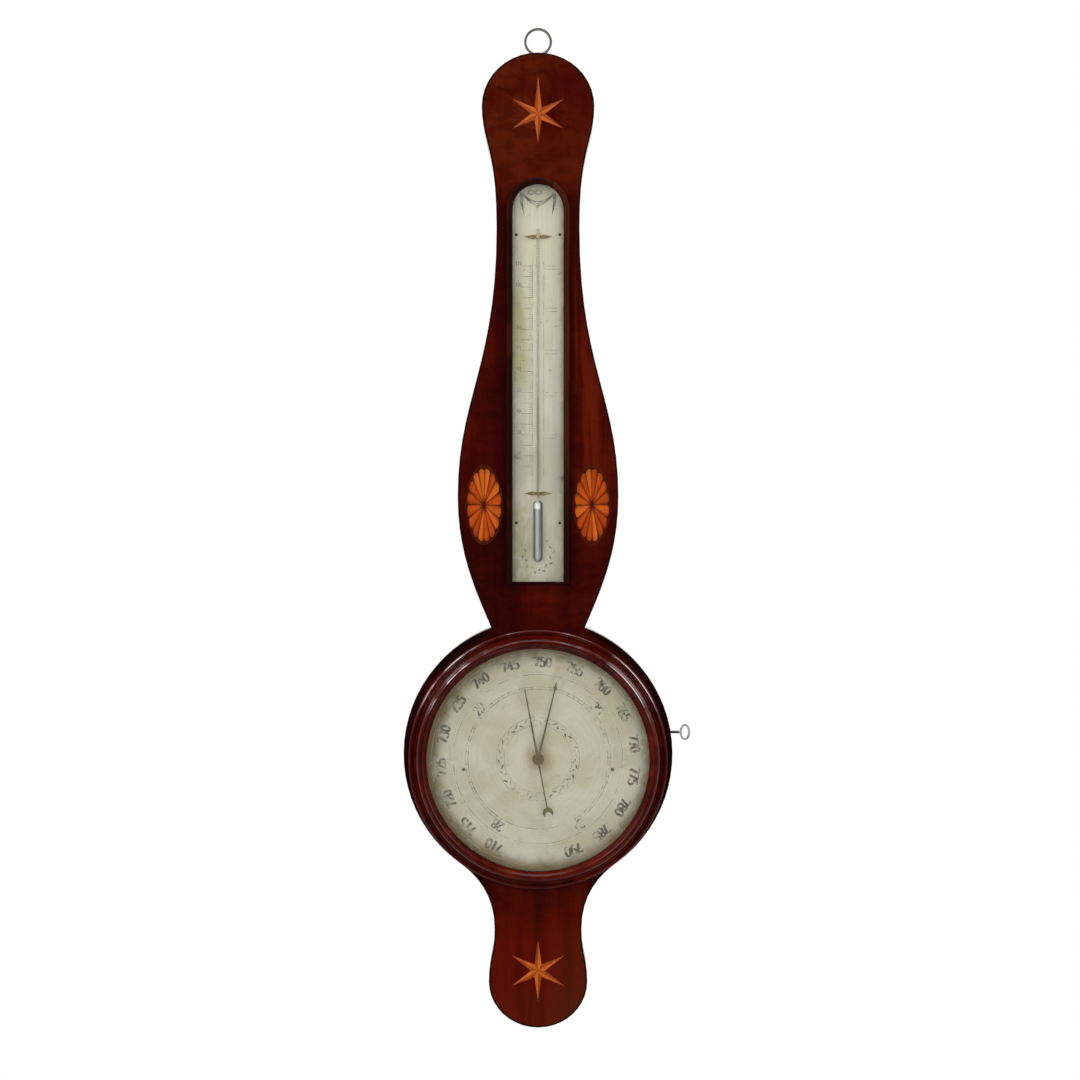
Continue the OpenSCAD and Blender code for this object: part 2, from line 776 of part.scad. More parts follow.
module set_wheel() {
    step = 360 / wheel_teeth;
    color("goldenrod") difference() {
        union() {
            slab(worm_y + wheel_t / 2, wheel_t) translate([0, dial_z])
                polygon([for (k = [0:wheel_teeth - 1], p = [[wheel_root_r, -0.95], [wheel_tip_r, -0.35],
                    [wheel_tip_r, 0.35], [wheel_root_r, 0.95]])
                    let (a = 90 - k * step)
                    [p[0] * cos(a) + p[1] * sin(a), p[0] * sin(a) - p[1] * cos(a)]]);
            rod_y(0, pipe_back_y, dial_z, 5, 2);
        }
        rod_y(0, 0, dial_z, pipe_r, through);
    }
}

module set_pipe() {
    color("gold") difference() {
        rod_y(0, pipe_back_y, dial_z, pipe_r, pipe_back_y - pipe_front_y);
        rod_y(0, 0, dial_z, arbor_r + run, through);
    }
}

module set_hand() {
    y = pipe_front_y + 0.9;
    color("darkkhaki") difference() {
        union() {
            rod_y(0, y, dial_z, set_hub_r, hand_t);
            slab(y, hand_t) translate([0, dial_z]) rotate(-set_deg)
                polygon([[-1.1, 0], [-0.6, set_len - 9], [-1.7, set_len - 6.5], [0, set_len],
                    [1.7, set_len - 6.5], [0.6, set_len - 9], [1.1, 0]]);
        }
        rod_y(0, 0, dial_z, pipe_r, through);
    }
}

module setting_key() {
    color("silver") {
        translate([socket_x + 9, worm_y - prong / 2, worm_z - prong / 2])
            cube([bush_x - socket_x - 9, prong, prong]);
        rod_x(bush_x - 0.5, worm_y, worm_z, key_r, drum_edge_x + key_shank + 1.2 - bush_x);
        difference() {
            translate([bow_x, worm_y + 0.9, worm_z]) rotate([90, 0, 0]) linear_extrude(1.8)
                polygon(arc(0, 0, bow_w / 2, bow_h / 2, 0, 350, 35));
            translate([bow_x, worm_y + 2, worm_z]) rotate([90, 0, 0]) linear_extrude(4)
                polygon(arc(0, 0, bow_w / 2 - bow_t, bow_h / 2 - bow_t, 0, 350, 35));
        }
    }
}

// Indicator hand and its pulley
module indicator_hand() {
    y = pipe_front_y - 1.2;
    tail = tail_len - crescent_r;
    color("darkolivegreen") difference() {
        union() {
            rod_y(0, y, dial_z, 3.9, hand_t);
            slab(y, hand_t) translate([0, dial_z]) rotate(-indicator_deg)
                polygon([[-0.6, -tail - 0.6], [-0.6, -tail / 3], [-1.1, 0], [-0.55, indicator_len - 3],
                    [0, indicator_len], [0.55, indicator_len - 3], [1.1, 0], [0.6, -tail / 3],
                    [0.6, -tail - 0.6]]);
            slab(y, hand_t) translate([0, dial_z]) rotate(-indicator_deg) translate([0, -tail_len])
                polygon(concat(arc(0, 0, crescent_r, crescent_r, -50, 230, 20),
                    arc(0, -0.55 * crescent_r, 0.66 * crescent_r, 0.66 * crescent_r, 190, -10, 12)));
        }
        rod_y(0, 0, dial_z, arbor_r, through);
    }
}

module hand_cap() {
    color("gold") turned(pipe_front_y - 2) polygon([[arbor_r, 0], [2.4, 0], [2.4, 1], [1.8, 2.1], [0, 2.6],
        [0, 1.2], [arbor_r, 1.2]]);
}

module hand_arbor() {
    color("gray") rod_y(0, cock_back_y, dial_z, arbor_r, cock_back_y - pipe_front_y + 3.2);
}

module pulley() {
    rim_r = pulley_r + 1.4;
    groove_r = pulley_r - 0.25;
    color("gold") turned(pulley_y + 2.5) polygon([[arbor_r, 0], [rim_r, 0], [rim_r, 0.8], [groove_r, 2.1],
        [groove_r, 2.9], [rim_r, 4.2], [rim_r, 5], [arbor_r, 5]]);
}

module glass_float() {
    color("lightblue") translate([pulley_r, pulley_y, mercury_low_z])
        cylinder(r = bore_r - 0.5, h = float_len);
}

module float_thread() {
    color("ivory") translate([pulley_r, pulley_y, mercury_low_z + float_len])
        cylinder(r = 0.2, h = dial_z - mercury_low_z - float_len);
}

module counterweight() {
    color("gray") translate([-pulley_r, pulley_y, counter_z - counter_len / 2])
        cylinder(r = bore_r - 0.5, h = counter_len);
}

module counter_thread() {
    color("ivory") translate([-pulley_r, pulley_y, counter_z + counter_len / 2])
        cylinder(r = 0.2, h = dial_z - counter_z - counter_len / 2);
}

// Weather tube, with a small bead where each limb is fused to the bend
module siphon_tube() {
    color("lightcyan", 0.4) {
        translate([long_x, pulley_y, 0]) rotate_extrude() polygon(concat(
            [[bore_r, bend_z], [tube_r, bend_z]],
            arc(0, tube_top_z - tube_r, tube_r, tube_r, 0, 90, 6),
            arc(0, tube_top_z - tube_r, bore_r, bore_r, 90, 0, 6)));
        translate([bend_x, pulley_y, bend_z]) rotate([-90, 0, 0]) rotate_extrude(angle = 180)
            translate([bend_r, 0]) difference() {
                circle(tube_r);
                circle(bore_r);
            }
        translate([pulley_r, pulley_y, bend_z]) linear_extrude(short_top_z - bend_z) difference() {
            circle(tube_r);
            circle(bore_r);
        }
        for (x = [long_x, pulley_r])
            translate([x, pulley_y, bend_z - weld_h / 2]) linear_extrude(weld_h) difference() {
                circle(tube_r + weld_rise);
                circle((tube_r + bore_r) / 2);
            }
    }
}

module siphon_mercury() {
    color("slategray") {
        translate([long_x, pulley_y, bend_z]) cylinder(r = bore_r, h = top_mercury_z - bend_z);
        translate([bend_x, pulley_y, bend_z]) rotate([-90, 0, 0]) rotate_extrude(angle = 180)
            translate([bend_r, 0]) circle(bore_r);
        translate([long_x, pulley_y, bend_z - weld_h / 2]) cylinder(r = bore_r / 2, h = weld_h);
    }
}

module float_mercury() {
    color("slategray") translate([pulley_r, pulley_y, bend_z])
        cylinder(r = bore_r, h = mercury_low_z - bend_z);
}

module top_mercury() {
    color("slategray") translate([long_x, pulley_y, top_mercury_z])
        cylinder(r = bore_r, h = mercury_top_z - top_mercury_z);
}

module counter_tube() {
    color("lightcyan", 0.4) translate([-pulley_r, pulley_y, counter_tube_z]) difference() {
        cylinder(r = tube_r, h = counter_tube_len);
        translate([0, 0, 1.5]) cylinder(r = bore_r, h = counter_tube_len);
    }
}

module tube_straps() {
    color("gold") difference() {
        slab(strap_y + 1, 1) strap_shape(0);
        each_strap_screw() screw_hole(0, 0, 0, strap_screw_len);
    }
}

module strap_screws() {
    color("gray") each_strap_screw() screw(0, 0, 0, strap_screw_len);
}

// Thermometer
module thermo_frame() {
    w = thermo_frame_w - 0.1;
    h = thermo_frame_h;
    seat = front_y - thermo_glass_y;
    foot_z = thermo_low_z - sill_share * w;
    bead = arc(w / 2, 0.4 * h, w / 2, 0.6 * h, 0, 180, 12);
    bar = concat([[0, seat], [thermo_rim, seat], [thermo_rim, -pocket_depth], [w, -pocket_depth]], bead);
    color("black") {
        translate([0, front_y, spring_z]) rotate([90, 0, 0]) rotate_extrude(angle = 180)
            polygon([for (p = bar) [thermo_w / 2 + p[0], p[1]]]);
        for (s = [-1, 1]) translate([0, front_y, foot_z]) linear_extrude(spring_z - foot_z)
            polygon([for (p = bar) [s * (thermo_w / 2 + p[0]), -p[1]]]);
        translate([-thermo_w / 2 - w / 2, front_y, foot_z]) rotate([90, 0, 90]) linear_extrude(thermo_w + w)
            thermo_sill(sill_share * w, -seat, 0.6 * h);
    }
}

// Section of the sill between the feet of the frame, with a sloped top and a step for the glass
module thermo_sill(top, seat, rise) {
    slope = 0.6;
    step = top - sill_share * thermo_rim;
    polygon([[-rise, 0], [pocket_depth, 0], [pocket_depth, step], [seat, step], [seat, top],
        [slope - rise, top], [-rise, top - slope]]);
}

module thermo_glass() {
    color("lightcyan", 0.3) slab(thermo_glass_y + 1.5, 1.5) polygon(arch(thermo_rim - 0.1));
}

module thermo_plate() {
    color("lightgray") difference() {
        slab(pocket_y, 1) polygon(arch(thermo_rim - 0.2));
        slab(pocket_y + 1, 4) bulb_slot();
        each_thermo_screw() rod_y(0, 6, 0, 1, 8);
    }
}

// Side of the bulb from low to high, drawn in from its outside by d
function bulb_side(d) = concat(
    arc(0, bulb_r, bulb_r - d, bulb_r - d, -75, 0, 5),
    arc(0, bulb_len - bulb_r, bulb_r - d, bulb_r - d, 0, 65, 5));

module thermo_tube() {
    top = stem_top_z - bulb_low_z;
    inside = bulb_side(bulb_wall);
    color("lightcyan", 0.4) translate([0, stem_y, bulb_low_z]) rotate_extrude() polygon(concat(
        [[0, 0]],
        bulb_side(0),
        [[stem_r, bulb_len + 1], [stem_r, top], [0, top], [0, top - 6], [thread_r, top - 6],
            [thread_r, bulb_len - 2 * bulb_wall]],
        [for (i = [len(inside) - 1:-1:0]) inside[i]],
        [[0, bulb_wall]]));
}

module thermo_mercury() {
    color("slategray") translate([0, stem_y, bulb_low_z]) rotate_extrude() polygon(concat(
        [[0, bulb_wall]],
        bulb_side(bulb_wall),
        [[thread_r, bulb_len - 2 * bulb_wall], [thread_r, thermo_column], [0, thermo_column]]));
}

// Leaf-shaped brass clips that hold the tube to the plate
module thermo_clips() {
    color("gold") for (z = clip_zs) translate([0, 0, z]) difference() {
        union() {
            for (s = [-1, 1]) slab(scale_y, 0.8)
                polygon([[s * 1.4, 0.9], [s * 5, 2], [s * 9, 1], [s * clip_w / 2, 0],
                    [s * 9, -1], [s * 5, -2], [s * 1.4, -0.9]]);
            translate([0, stem_y, -1.2]) cylinder(r = stem_r + 1, h = 2.4);
            translate([-stem_r - 1, stem_y, -1.2]) cube([2 * stem_r + 2, scale_y - stem_y, 2.4]);
        }
        translate([0, stem_y, -4]) cylinder(r = stem_r, h = 8);
        translate([-stem_r, stem_y, -4]) cube([2 * stem_r, 5, 8]);
    }
}

module thermo_screws() {
    color("gray") each_thermo_screw() front_screw(0, 0, 0, 1.4, 5);
}

// Slot that lets the back of the bulb into the plate
module bulb_slot() {
    slot_r = bulb_r - bulb_room;
    polygon(concat(arc(0, bulb_low_z + bulb_r, slot_r, slot_r, 180, 360, 16),
        arc(0, bulb_low_z + bulb_len - bulb_r, slot_r, slot_r, 0, 180, 16)));
}

// Hanging plate with its ring
module hanger_shape(g) {
    translate([-hanger_w / 2 - g, top_z - hanger_drop - hanger_h - g])
        square([hanger_w + 2 * g, hanger_h + g]);
    translate([-hanger_neck_w / 2 - g, top_z - 20]) square([hanger_neck_w + 2 * g, 22]);
}

module hanging_plate() {
    neck_top = -ring_r - 0.6;
    color("gray") difference() {
        union() {
            slab(0, hanger_t) {
                translate([-hanger_w / 2, top_z - hanger_drop - hanger_h]) square([hanger_w, hanger_h]);
                translate([-hanger_neck_w / 2, top_z - 20]) square([hanger_neck_w, neck_top - top_z + 20]);
            }
            rotate([90, 0, 0]) cylinder(r = ring_r + ring_wall, h = hanger_t, $fn = 72);
        }
        rod_y(0, 5, 0, ring_r, 20, $fn = 72);
        each_hanger_screw() screw_hole(0, 0, 0, hanger_screw_len);
    }
}

module hanger_screws() {
    color("gray") each_hanger_screw() screw(0, 0, 0, hanger_screw_len);
}

// Back door, hinges and covers
module back_door() {
    color("sienna") difference() {
        slab(0, door_t) hinged_disc(door_r, door_edge_x);
        slab(eps, button_pocket + eps) button_sweep();
        slab(eps, leaf_t + eps) for (h = hinge_rises)
            translate([hinge_x, dial_z + h - leaf_h / 2]) square([leaf_w, leaf_h]);
        each_hinge_screw(1) screw_hole(0, 0, 0, door_leaf_screw_len);
    }
}

// Leaf and knuckles on one side of a hinge
module hinge_leaf(h, side) {
    difference() {
        union() {
            slab(0, leaf_t) for (z = side < 0 ? [-leaf_h / 2, knuckle_h / 2 + 0.3] : [-knuckle_h / 2])
                translate([side < 0 ? hinge_x - 3 : hinge_x, dial_z + h + z])
                    square([3, side < 0 ? leaf_h / 2 - knuckle_h / 2 - 0.3 : knuckle_h]);
            slab(0, leaf_t) translate([side < 0 ? hinge_x - leaf_w : hinge_x + 2, dial_z + h - leaf_h / 2])
                square([leaf_w - 2, leaf_h]);
            for (z = side < 0 ? [-leaf_h / 2, knuckle_h / 2 + 0.3] : [-knuckle_h / 2])
                translate([hinge_x, hinge_y, dial_z + h + z])
                    cylinder(r = knuckle_r, h = side < 0 ? leaf_h / 2 - knuckle_h / 2 - 0.3 : knuckle_h);
        }
        translate([hinge_x, hinge_y, dial_z + h - 30])
            cylinder(r = hinge_pin_r + (side < 0 ? 0 : run), h = 60);
    }
}

module hinge_case_leaves() {
    color("gold") difference() {
        for (h = hinge_rises) hinge_leaf(h, -1);
        each_hinge_screw(-1) screw_hole(0, 0, 0, case_leaf_screw_len);
    }
}

module hinge_door_leaves() {
    color("gold") difference() {
        for (h = hinge_rises) hinge_leaf(h, 1);
        each_hinge_screw(1) screw_hole(0, 0, 0, door_leaf_screw_len);
    }
}

module hinge_pins() {
    color("gray") for (h = hinge_rises)
        translate([hinge_x, hinge_y, dial_z + h - leaf_h / 2]) cylinder(r = hinge_pin_r, h = leaf_h);
}

module hinge_case_screws() {
    color("gray") each_hinge_screw(-1) screw(0, 0, 0, case_leaf_screw_len);
}

module hinge_door_screws() {
    color("gray") each_hinge_screw(1) screw(0, 0, 0, door_leaf_screw_len);
}

module channel_covers() {
    color("sienna") difference() {
        slab(0, cover_t) cover_shape(0);
        each_cover_screw() screw_hole(0, 0, 0, cover_screw_len);
    }
}

module cover_screws() {
    color("gray") each_cover_screw() screw(0, 0, 0, cover_screw_len);
}

module turn_button() {
    color("gold") difference() {
        slab(-0.9, button_t) translate([button_x, drum_z]) {
            circle(button_w / 2);
            translate([-button_w / 2, 0]) square([button_w, button_len - button_w / 2]);
            translate([0, button_len - button_w / 2]) circle(button_w / 2);
        }
        rod_y(button_x, 2, drum_z, button_screw_r + run, 20);
    }
}

module button_screw() {
    color("gray") difference() {
        union() {
            rod_y(button_x, 0, drum_z, 3, 0.8);
            rod_y(button_x, -0.8, drum_z, button_screw_r, 13.2);
        }
        translate([button_x - 4, -0.4, drum_z - 0.3]) cube([8, 1, 0.6]);
    }
}

case_carcase();
front_veneer();
star_light_rays();
star_shaded_rays();
fan_grounds();
fan_petals();
bezel();
bezel_glass();
dial_spacer();
dial_plate();
dial_screws();
centre_bush();
movement_pillars();
movement_plate();
movement_screws();
cock_pillars();
pulley_cock();
cock_screws();
worm_bracket();
side_bush();
siphon_tube();
siphon_mercury();
float_mercury();
top_mercury();
counter_tube();
tube_straps();
strap_screws();
thermo_frame();
thermo_glass();
thermo_plate();
thermo_tube();
thermo_mercury();
thermo_clips();
thermo_screws();
hanging_plate();
hanger_screws();
hinge_case_leaves();
hinge_pins();
hinge_case_screws();
channel_covers();
cover_screws();
button_screw();
indicator_hand();
hand_cap();
hand_arbor();
pulley();
glass_float();
float_thread();
counterweight();
counter_thread();
set_hand();
set_pipe();
set_wheel();
worm_arbor();
worm();
setting_key();
back_door();
hinge_door_leaves();
hinge_door_screws();
turn_button();
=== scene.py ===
"""Looks of a banjo wheel barometer: polished mahogany, inlays, silvered scales, glass and brass."""

import json
import math

import bpy
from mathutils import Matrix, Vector


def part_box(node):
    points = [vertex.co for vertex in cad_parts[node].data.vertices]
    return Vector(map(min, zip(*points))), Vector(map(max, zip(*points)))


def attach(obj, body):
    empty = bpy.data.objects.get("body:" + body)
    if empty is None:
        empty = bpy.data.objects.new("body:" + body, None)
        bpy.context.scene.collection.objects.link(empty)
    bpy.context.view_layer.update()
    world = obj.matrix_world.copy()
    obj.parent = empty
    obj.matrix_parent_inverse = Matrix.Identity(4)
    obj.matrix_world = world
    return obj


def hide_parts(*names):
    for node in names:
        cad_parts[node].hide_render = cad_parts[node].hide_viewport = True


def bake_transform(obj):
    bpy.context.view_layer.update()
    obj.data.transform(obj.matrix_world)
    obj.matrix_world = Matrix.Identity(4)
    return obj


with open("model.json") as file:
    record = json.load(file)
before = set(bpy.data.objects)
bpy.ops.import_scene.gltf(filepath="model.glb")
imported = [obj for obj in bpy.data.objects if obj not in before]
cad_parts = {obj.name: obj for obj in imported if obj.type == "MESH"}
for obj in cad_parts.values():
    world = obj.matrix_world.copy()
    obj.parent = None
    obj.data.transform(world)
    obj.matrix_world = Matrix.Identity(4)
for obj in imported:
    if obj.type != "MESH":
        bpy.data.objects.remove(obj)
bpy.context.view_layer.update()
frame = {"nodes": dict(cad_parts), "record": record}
nodes = frame["nodes"]
MM = 0.001


# Shader sums

class Wire:
    """A socket that can be used in sums of numbers."""

    def __init__(self, finish, socket):
        self.finish = finish
        self.socket = socket

    def __add__(self, other):
        return self.finish.math("ADD", self, other)

    def __radd__(self, other):
        return self.finish.math("ADD", other, self)

    def __sub__(self, other):
        return self.finish.math("SUBTRACT", self, other)

    def __rsub__(self, other):
        return self.finish.math("SUBTRACT", other, self)

    def __mul__(self, other):
        return self.finish.math("MULTIPLY", self, other)

    def __rmul__(self, other):
        return self.finish.math("MULTIPLY", other, self)

    def __truediv__(self, other):
        return self.finish.math("DIVIDE", self, other)

    def __pow__(self, other):
        return self.finish.math("POWER", self, other)


class Finish:
    """A material made from nodes, with a principled shader at its end."""

    def __init__(self, name):
        self.material = bpy.data.materials.new(name)
        self.material.use_nodes = True
        self.tree = self.material.node_tree
        self.shader = self.tree.nodes["Principled BSDF"]
        self.output = self.tree.nodes["Material Output"]

    def node(self, kind, settings=None, sockets=None, out=0):
        """Any node: its settings come first, then the values or links of its sockets."""
        made = self.tree.nodes.new(kind)
        for key, value in (settings or {}).items():
            if key == "stops":
                self.set_stops(made.color_ramp, value)
            else:
                setattr(made, key, value)
        for key, value in (sockets or {}).items():
            self.feed(made.inputs[key], value)
        return Wire(self, made.outputs[out])

    def set_stops(self, ramp, stops):
        while len(ramp.elements) < len(stops):
            ramp.elements.new(0.5)
        for element, (place, colour) in zip(ramp.elements, stops):
            element.position = place
            element.color = (*colour, 1)

    def feed(self, socket, value):
        """Links a wire to a socket, or sets the socket's own value."""
        if isinstance(value, Wire):
            self.tree.links.new(value.socket, socket)
        elif socket.type == "RGBA" and len(value) == 3:
            socket.default_value = (*value, 1)
        else:
            socket.default_value = value

    def set(self, **sockets):
        """Sets sockets of the principled shader, with _ for a space in their names."""
        for key, value in sockets.items():
            self.feed(self.shader.inputs[key.replace("_", " ")], value)
        return self.material

    def math(self, operation, a, b=0.0):
        return self.node("ShaderNodeMath", {"operation": operation}, {0: a, 1: b})

    def place(self):
        return self.node("ShaderNodeTexCoord", out="Object")

    def split(self, vector, axis):
        return self.node("ShaderNodeSeparateXYZ", {}, {0: vector}, out=axis)

    def noise(self, place, scales, detail, distortion=0.0):
        """Noise with its own scale along X, Y and Z, in waves to the metre."""
        scaled = self.node("ShaderNodeVectorMath", {"operation": "MULTIPLY"}, {0: place, 1: scales})
        return self.node("ShaderNodeTexNoise", {"noise_dimensions": "3D"},
                         {"Vector": scaled, "Scale": 1.0, "Detail": detail, "Distortion": distortion})

    def ramp(self, value, *stops):
        return self.node("ShaderNodeValToRGB", {"stops": stops}, {0: value})

    def mask(self, value, none, full):
        """A soft step from 0, where the value is none, to 1, where it is full."""
        return self.node("ShaderNodeMapRange", {"interpolation_type": "SMOOTHSTEP"},
                         {"Value": value, "From Min": none, "From Max": full})

    def mix(self, a, b, share):
        return self.node("ShaderNodeMix", {"data_type": "RGBA"}, {0: share, 6: a, 7: b}, out=2)

    def tint(self, a, b, share):
        """A colour darkened by another, as far as share says."""
        return self.node("ShaderNodeMix", {"data_type": "RGBA", "blend_type": "MULTIPLY"},
                         {0: share, 6: a, 7: b}, out=2)

    def bump(self, height, strength, distance):
        return self.node("ShaderNodeBump", {},
                         {"Height": height, "Strength": strength, "Distance": distance})

    def reach(self, place, z):
        """Distance from a line along Y at x = 0, in metres."""
        dx = self.split(place, "X")
        dz = self.split(place, "Z") - z
        return (dx * dx + dz * dz) ** 0.5


def srgb(r, g, b):
    """A colour from 0 to 255 as the shader's linear values."""
    def linear(value):
        v = value / 255
        return v / 12.92 if v <= 0.04045 else ((v + 0.055) / 1.055) ** 2.4
    return tuple(linear(v) for v in (r, g, b))


# Places from the frame

FAN_SHAPE = 33.95 / 73
PETALS = 16
DRUM_RISE = 5 * MM
BOW_LENGTH = 9 * MM

dial_low, dial_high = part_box("dial_plate")
dial_z = (dial_low.z + dial_high.z) / 2
dial_face_y = dial_low.y
dial_radius = (dial_high.x - dial_low.x) / 2
drum_z = dial_z + DRUM_RISE
plate_low, plate_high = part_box("thermo_plate")
plate_face_y = plate_low.y
front_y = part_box("front_veneer")[0].y
fan_low, fan_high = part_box("fan_grounds")
fan_z = (fan_low.z + fan_high.z) / 2
fan_half_h = (fan_high.z - fan_low.z) / 2
fan_half_w = fan_half_h * FAN_SHAPE
fan_x = fan_high.x - fan_half_w
bow_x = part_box("setting_key")[1].x - BOW_LENGTH
bulb_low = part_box("thermo_mercury")[0].z


def star_middle(upper):
    """Height of a star's middle, from the tips of its side rays."""
    tips = [v.co for v in nodes["star_light_rays"].data.vertices if (v.co.z > dial_z) == upper]
    reach = max(abs(tip.x) for tip in tips)
    heights = [tip.z for tip in tips if abs(tip.x) > 0.95 * reach]
    return (min(heights) + max(heights)) / 2


head_star_z = star_middle(True)
foot_star_z = star_middle(False)


# Woods. A pair of places in metres is where a change starts and where it is full.

HEAD_BROWN = (-0.22, -0.1)
HEAD_MOTTLE = (-0.2, -0.13)
FOOT_RED = (-0.79, -0.84)
FOOT_BROWN = (-0.8, -0.84)
FOOT_TIP = (-0.865, -0.895)
FOOT_RIGHT = (0.0, 0.035)
# Where painted shade falls: on the drum's rim, beside the thermometer frame and down the belly.
DRUM_EDGE = (0.1155, 0.1195)
DRUM_SIDES = (0.036, 0.055)
DRUM_TOP = (0.13, 0.12)
ABOVE_DRUM = (-0.6, -0.57)
BY_FRAME = (0.043, 0.029)
FRAME_FOOT = (-0.52, -0.49)
FRAME_TOP = (-0.13, -0.17)
LEFT_HALF = (-0.008, -0.022)
RIGHT_HALF = (0.008, 0.022)
BELOW_WAIST = (-0.25, -0.32)
LEFT_BELLY = (-0.42, -0.47)
RIGHT_BELLY = (-0.42, -0.49)
STREAK_FOOT = (-0.47, -0.4)
STREAK_TOP = (-0.16, -0.22)
STREAK_SIDE = (0.03, 0.036)


def aged_front(m, place, colour, cloud, mottle, stripe):
    """Painted shade round the drum's rim, beside the thermometer frame and down the belly, most at the
    left; a brown foot, a mottled head and streaks in the trunk.
    """
    x = m.split(place, "X")
    beside = m.math("ABSOLUTE", x)
    height = m.split(place, "Z")
    # Painted shade: the drum's rounded rim is darkened at its sides, below its top.
    edge = m.mask(m.reach(place, drum_z), *DRUM_EDGE) * m.mask(beside, *DRUM_SIDES)
    colour = m.tint(colour, srgb(110, 80, 70), edge * m.mask(height - drum_z, *DRUM_TOP) * 0.9)
    # Painted shade: the wood is darkened beside the thermometer frame.
    by_frame = m.mask(beside, *BY_FRAME) * m.mask(height, *FRAME_FOOT) * m.mask(height, *FRAME_TOP)
    colour = m.tint(colour, srgb(150, 110, 100), by_frame * 0.7)
    # Painted shade: the belly is darkened on both sides down to the drum, most at the left.
    left = m.mask(height, *BELOW_WAIST) * 0.25 + m.mask(height, *LEFT_BELLY) * 0.45
    right = m.mask(height, *RIGHT_BELLY) * 0.4
    belly = m.mask(x, *LEFT_HALF) * left + m.mask(x, *RIGHT_HALF) * right
    colour = m.tint(colour, srgb(150, 110, 100), m.mask(height, *ABOVE_DRUM) * belly)
    foot = m.mask(x, *FOOT_RIGHT) * m.mask(height, *FOOT_BROWN) + m.mask(height, *FOOT_TIP) * 0.6
    colour = m.mix(colour, srgb(66, 22, 4), foot * 0.55)
    head = m.mask(height, *HEAD_MOTTLE) * m.mask(mottle * 0.6 + cloud * 0.4, 0.46, 0.6)
    colour = m.tint(colour, srgb(150, 115, 100), head * 0.55)
    trunk = m.mask(height, *STREAK_FOOT) * m.mask(height, *STREAK_TOP) * m.mask(x, *STREAK_SIDE)
    return m.mix(colour, srgb(92, 25, 5), trunk * m.mask(stripe, 0.45, 0.62) * 0.4)


BEZEL_BEADS = (0.105, 0.108)
BEZEL_TOP = (0.03, 0.065)
BEZEL_SIDES = (0.015, 0.05)


def kept_polish(m, place):
    """Patches of the bezel's upper beads where the old polish is left."""
    kept = m.mask(m.noise(place, (40, 40, 40), 3, 0.4), 0.36, 0.56)
    beads = m.mask(m.reach(place, dial_z), *BEZEL_BEADS)
    upper = m.mask(m.split(place, "Z") - dial_z, *BEZEL_TOP)
    return kept * beads * upper * m.mask(m.math("ABSOLUTE", m.split(place, "X")), *BEZEL_SIDES)


BACK_FACE = (-1.0 * MM, -0.4 * MM)


def mahogany(name, dark, mid, light, gloss, shine=0.3, aged_and_shaded=False, bare_back=False, patched=False):
    """Polished mahogany with cross mottle, fine vertical grain and open pores."""
    m = Finish(name)
    place = m.place()
    height = m.split(place, "Z")
    cloud = m.noise(place, (24, 24, 11), 4, 0.8)
    mottle = m.noise(place, (45, 45, 95), 3, 0.9)
    stripe = m.noise(place, (85, 85, 5), 3, 0.5)
    grain = m.noise(place, (330, 330, 9), 4, 0.3)
    pores = m.noise(place, (1700, 1700, 45), 2)
    depth = cloud * 0.33 + mottle * 0.29 + stripe * 0.22 + grain * 0.16
    colour = m.ramp(depth, (0.36, dark), (0.5, mid), (0.64, light))
    browned = m.mask(height, *HEAD_BROWN) * m.mask(cloud, 0.3, 0.6)
    colour = m.mix(colour, srgb(80, 26, 5), browned * 0.5)
    reddened = m.mask(height, *FOOT_RED) * m.mask(stripe, 0.2, 0.55)
    colour = m.mix(colour, srgb(92, 14, 1), reddened * 0.6)
    if aged_and_shaded:
        colour = aged_front(m, place, colour, cloud, mottle, stripe)
    colour = m.tint(colour, srgb(130, 90, 80), m.mask(pores, 0.62, 0.75) * 0.6)
    rough = gloss + m.noise(place, (30, 30, 30), 3) * 0.08
    if bare_back:
        back = m.mask(m.split(place, "Y"), *BACK_FACE)
        bare = m.mix(srgb(74, 40, 24), srgb(104, 62, 38), m.mask(depth, 0.4, 0.6))
        bare = m.tint(bare, srgb(150, 120, 100), m.mask(pores, 0.5, 0.7))
        colour = m.mix(colour, bare, back)
        rough = rough + back * 0.5
    if patched:
        m.set(Coat_Weight=kept_polish(m, place), Coat_Roughness=0.1, Coat_IOR=2.0)
    return m.set(Base_Color=colour, Roughness=rough, Specular_IOR_Level=shine,
                 Normal=m.bump(pores * -0.5 + grain * 0.2, 0.06, 0.3 * MM))


def polished_inlay(m, colour, cloud, streak):
    """The polish and grain that all inlays share."""
    return m.set(Base_Color=colour, Roughness=0.13 + cloud * 0.08, Specular_IOR_Level=0.3,
                 Normal=m.bump(streak, 0.05, 0.3 * MM))


def inlay(name, pale, deep):
    """Inlaid wood with a fine straight grain."""
    m = Finish(name)
    place = m.place()
    streak = m.noise(place, (700, 700, 60), 3, 0.5)
    cloud = m.noise(place, (110, 110, 70), 2)
    colour = m.mix(pale, deep, m.mask(streak * 0.6 + cloud * 0.4, 0.35, 0.68))
    return polished_inlay(m, colour, cloud, streak)


RAY_TIPS = (8 * MM, 24 * MM)


def star_inlay(name, pale, deep, tip):
    """Satinwood rays that turn duller towards their tips, and all over in the head."""
    m = Finish(name)
    place = m.place()
    streak = m.noise(place, (700, 700, 60), 3, 0.5)
    cloud = m.noise(place, (150, 150, 110), 3, 0.6)
    upper = m.math("GREATER_THAN", m.split(place, "Z"), (head_star_z + foot_star_z) / 2)
    reach = m.reach(place, upper * (head_star_z - foot_star_z) + foot_star_z)
    colour = m.mix(pale, deep, m.mask(streak * 0.5 + cloud * 0.5, 0.35, 0.68))
    dulled = m.mask(reach + (cloud - 0.5) * 8 * MM, *RAY_TIPS) * 0.6 + upper * 0.5
    return polished_inlay(m, m.mix(colour, tip, dulled), cloud, streak)


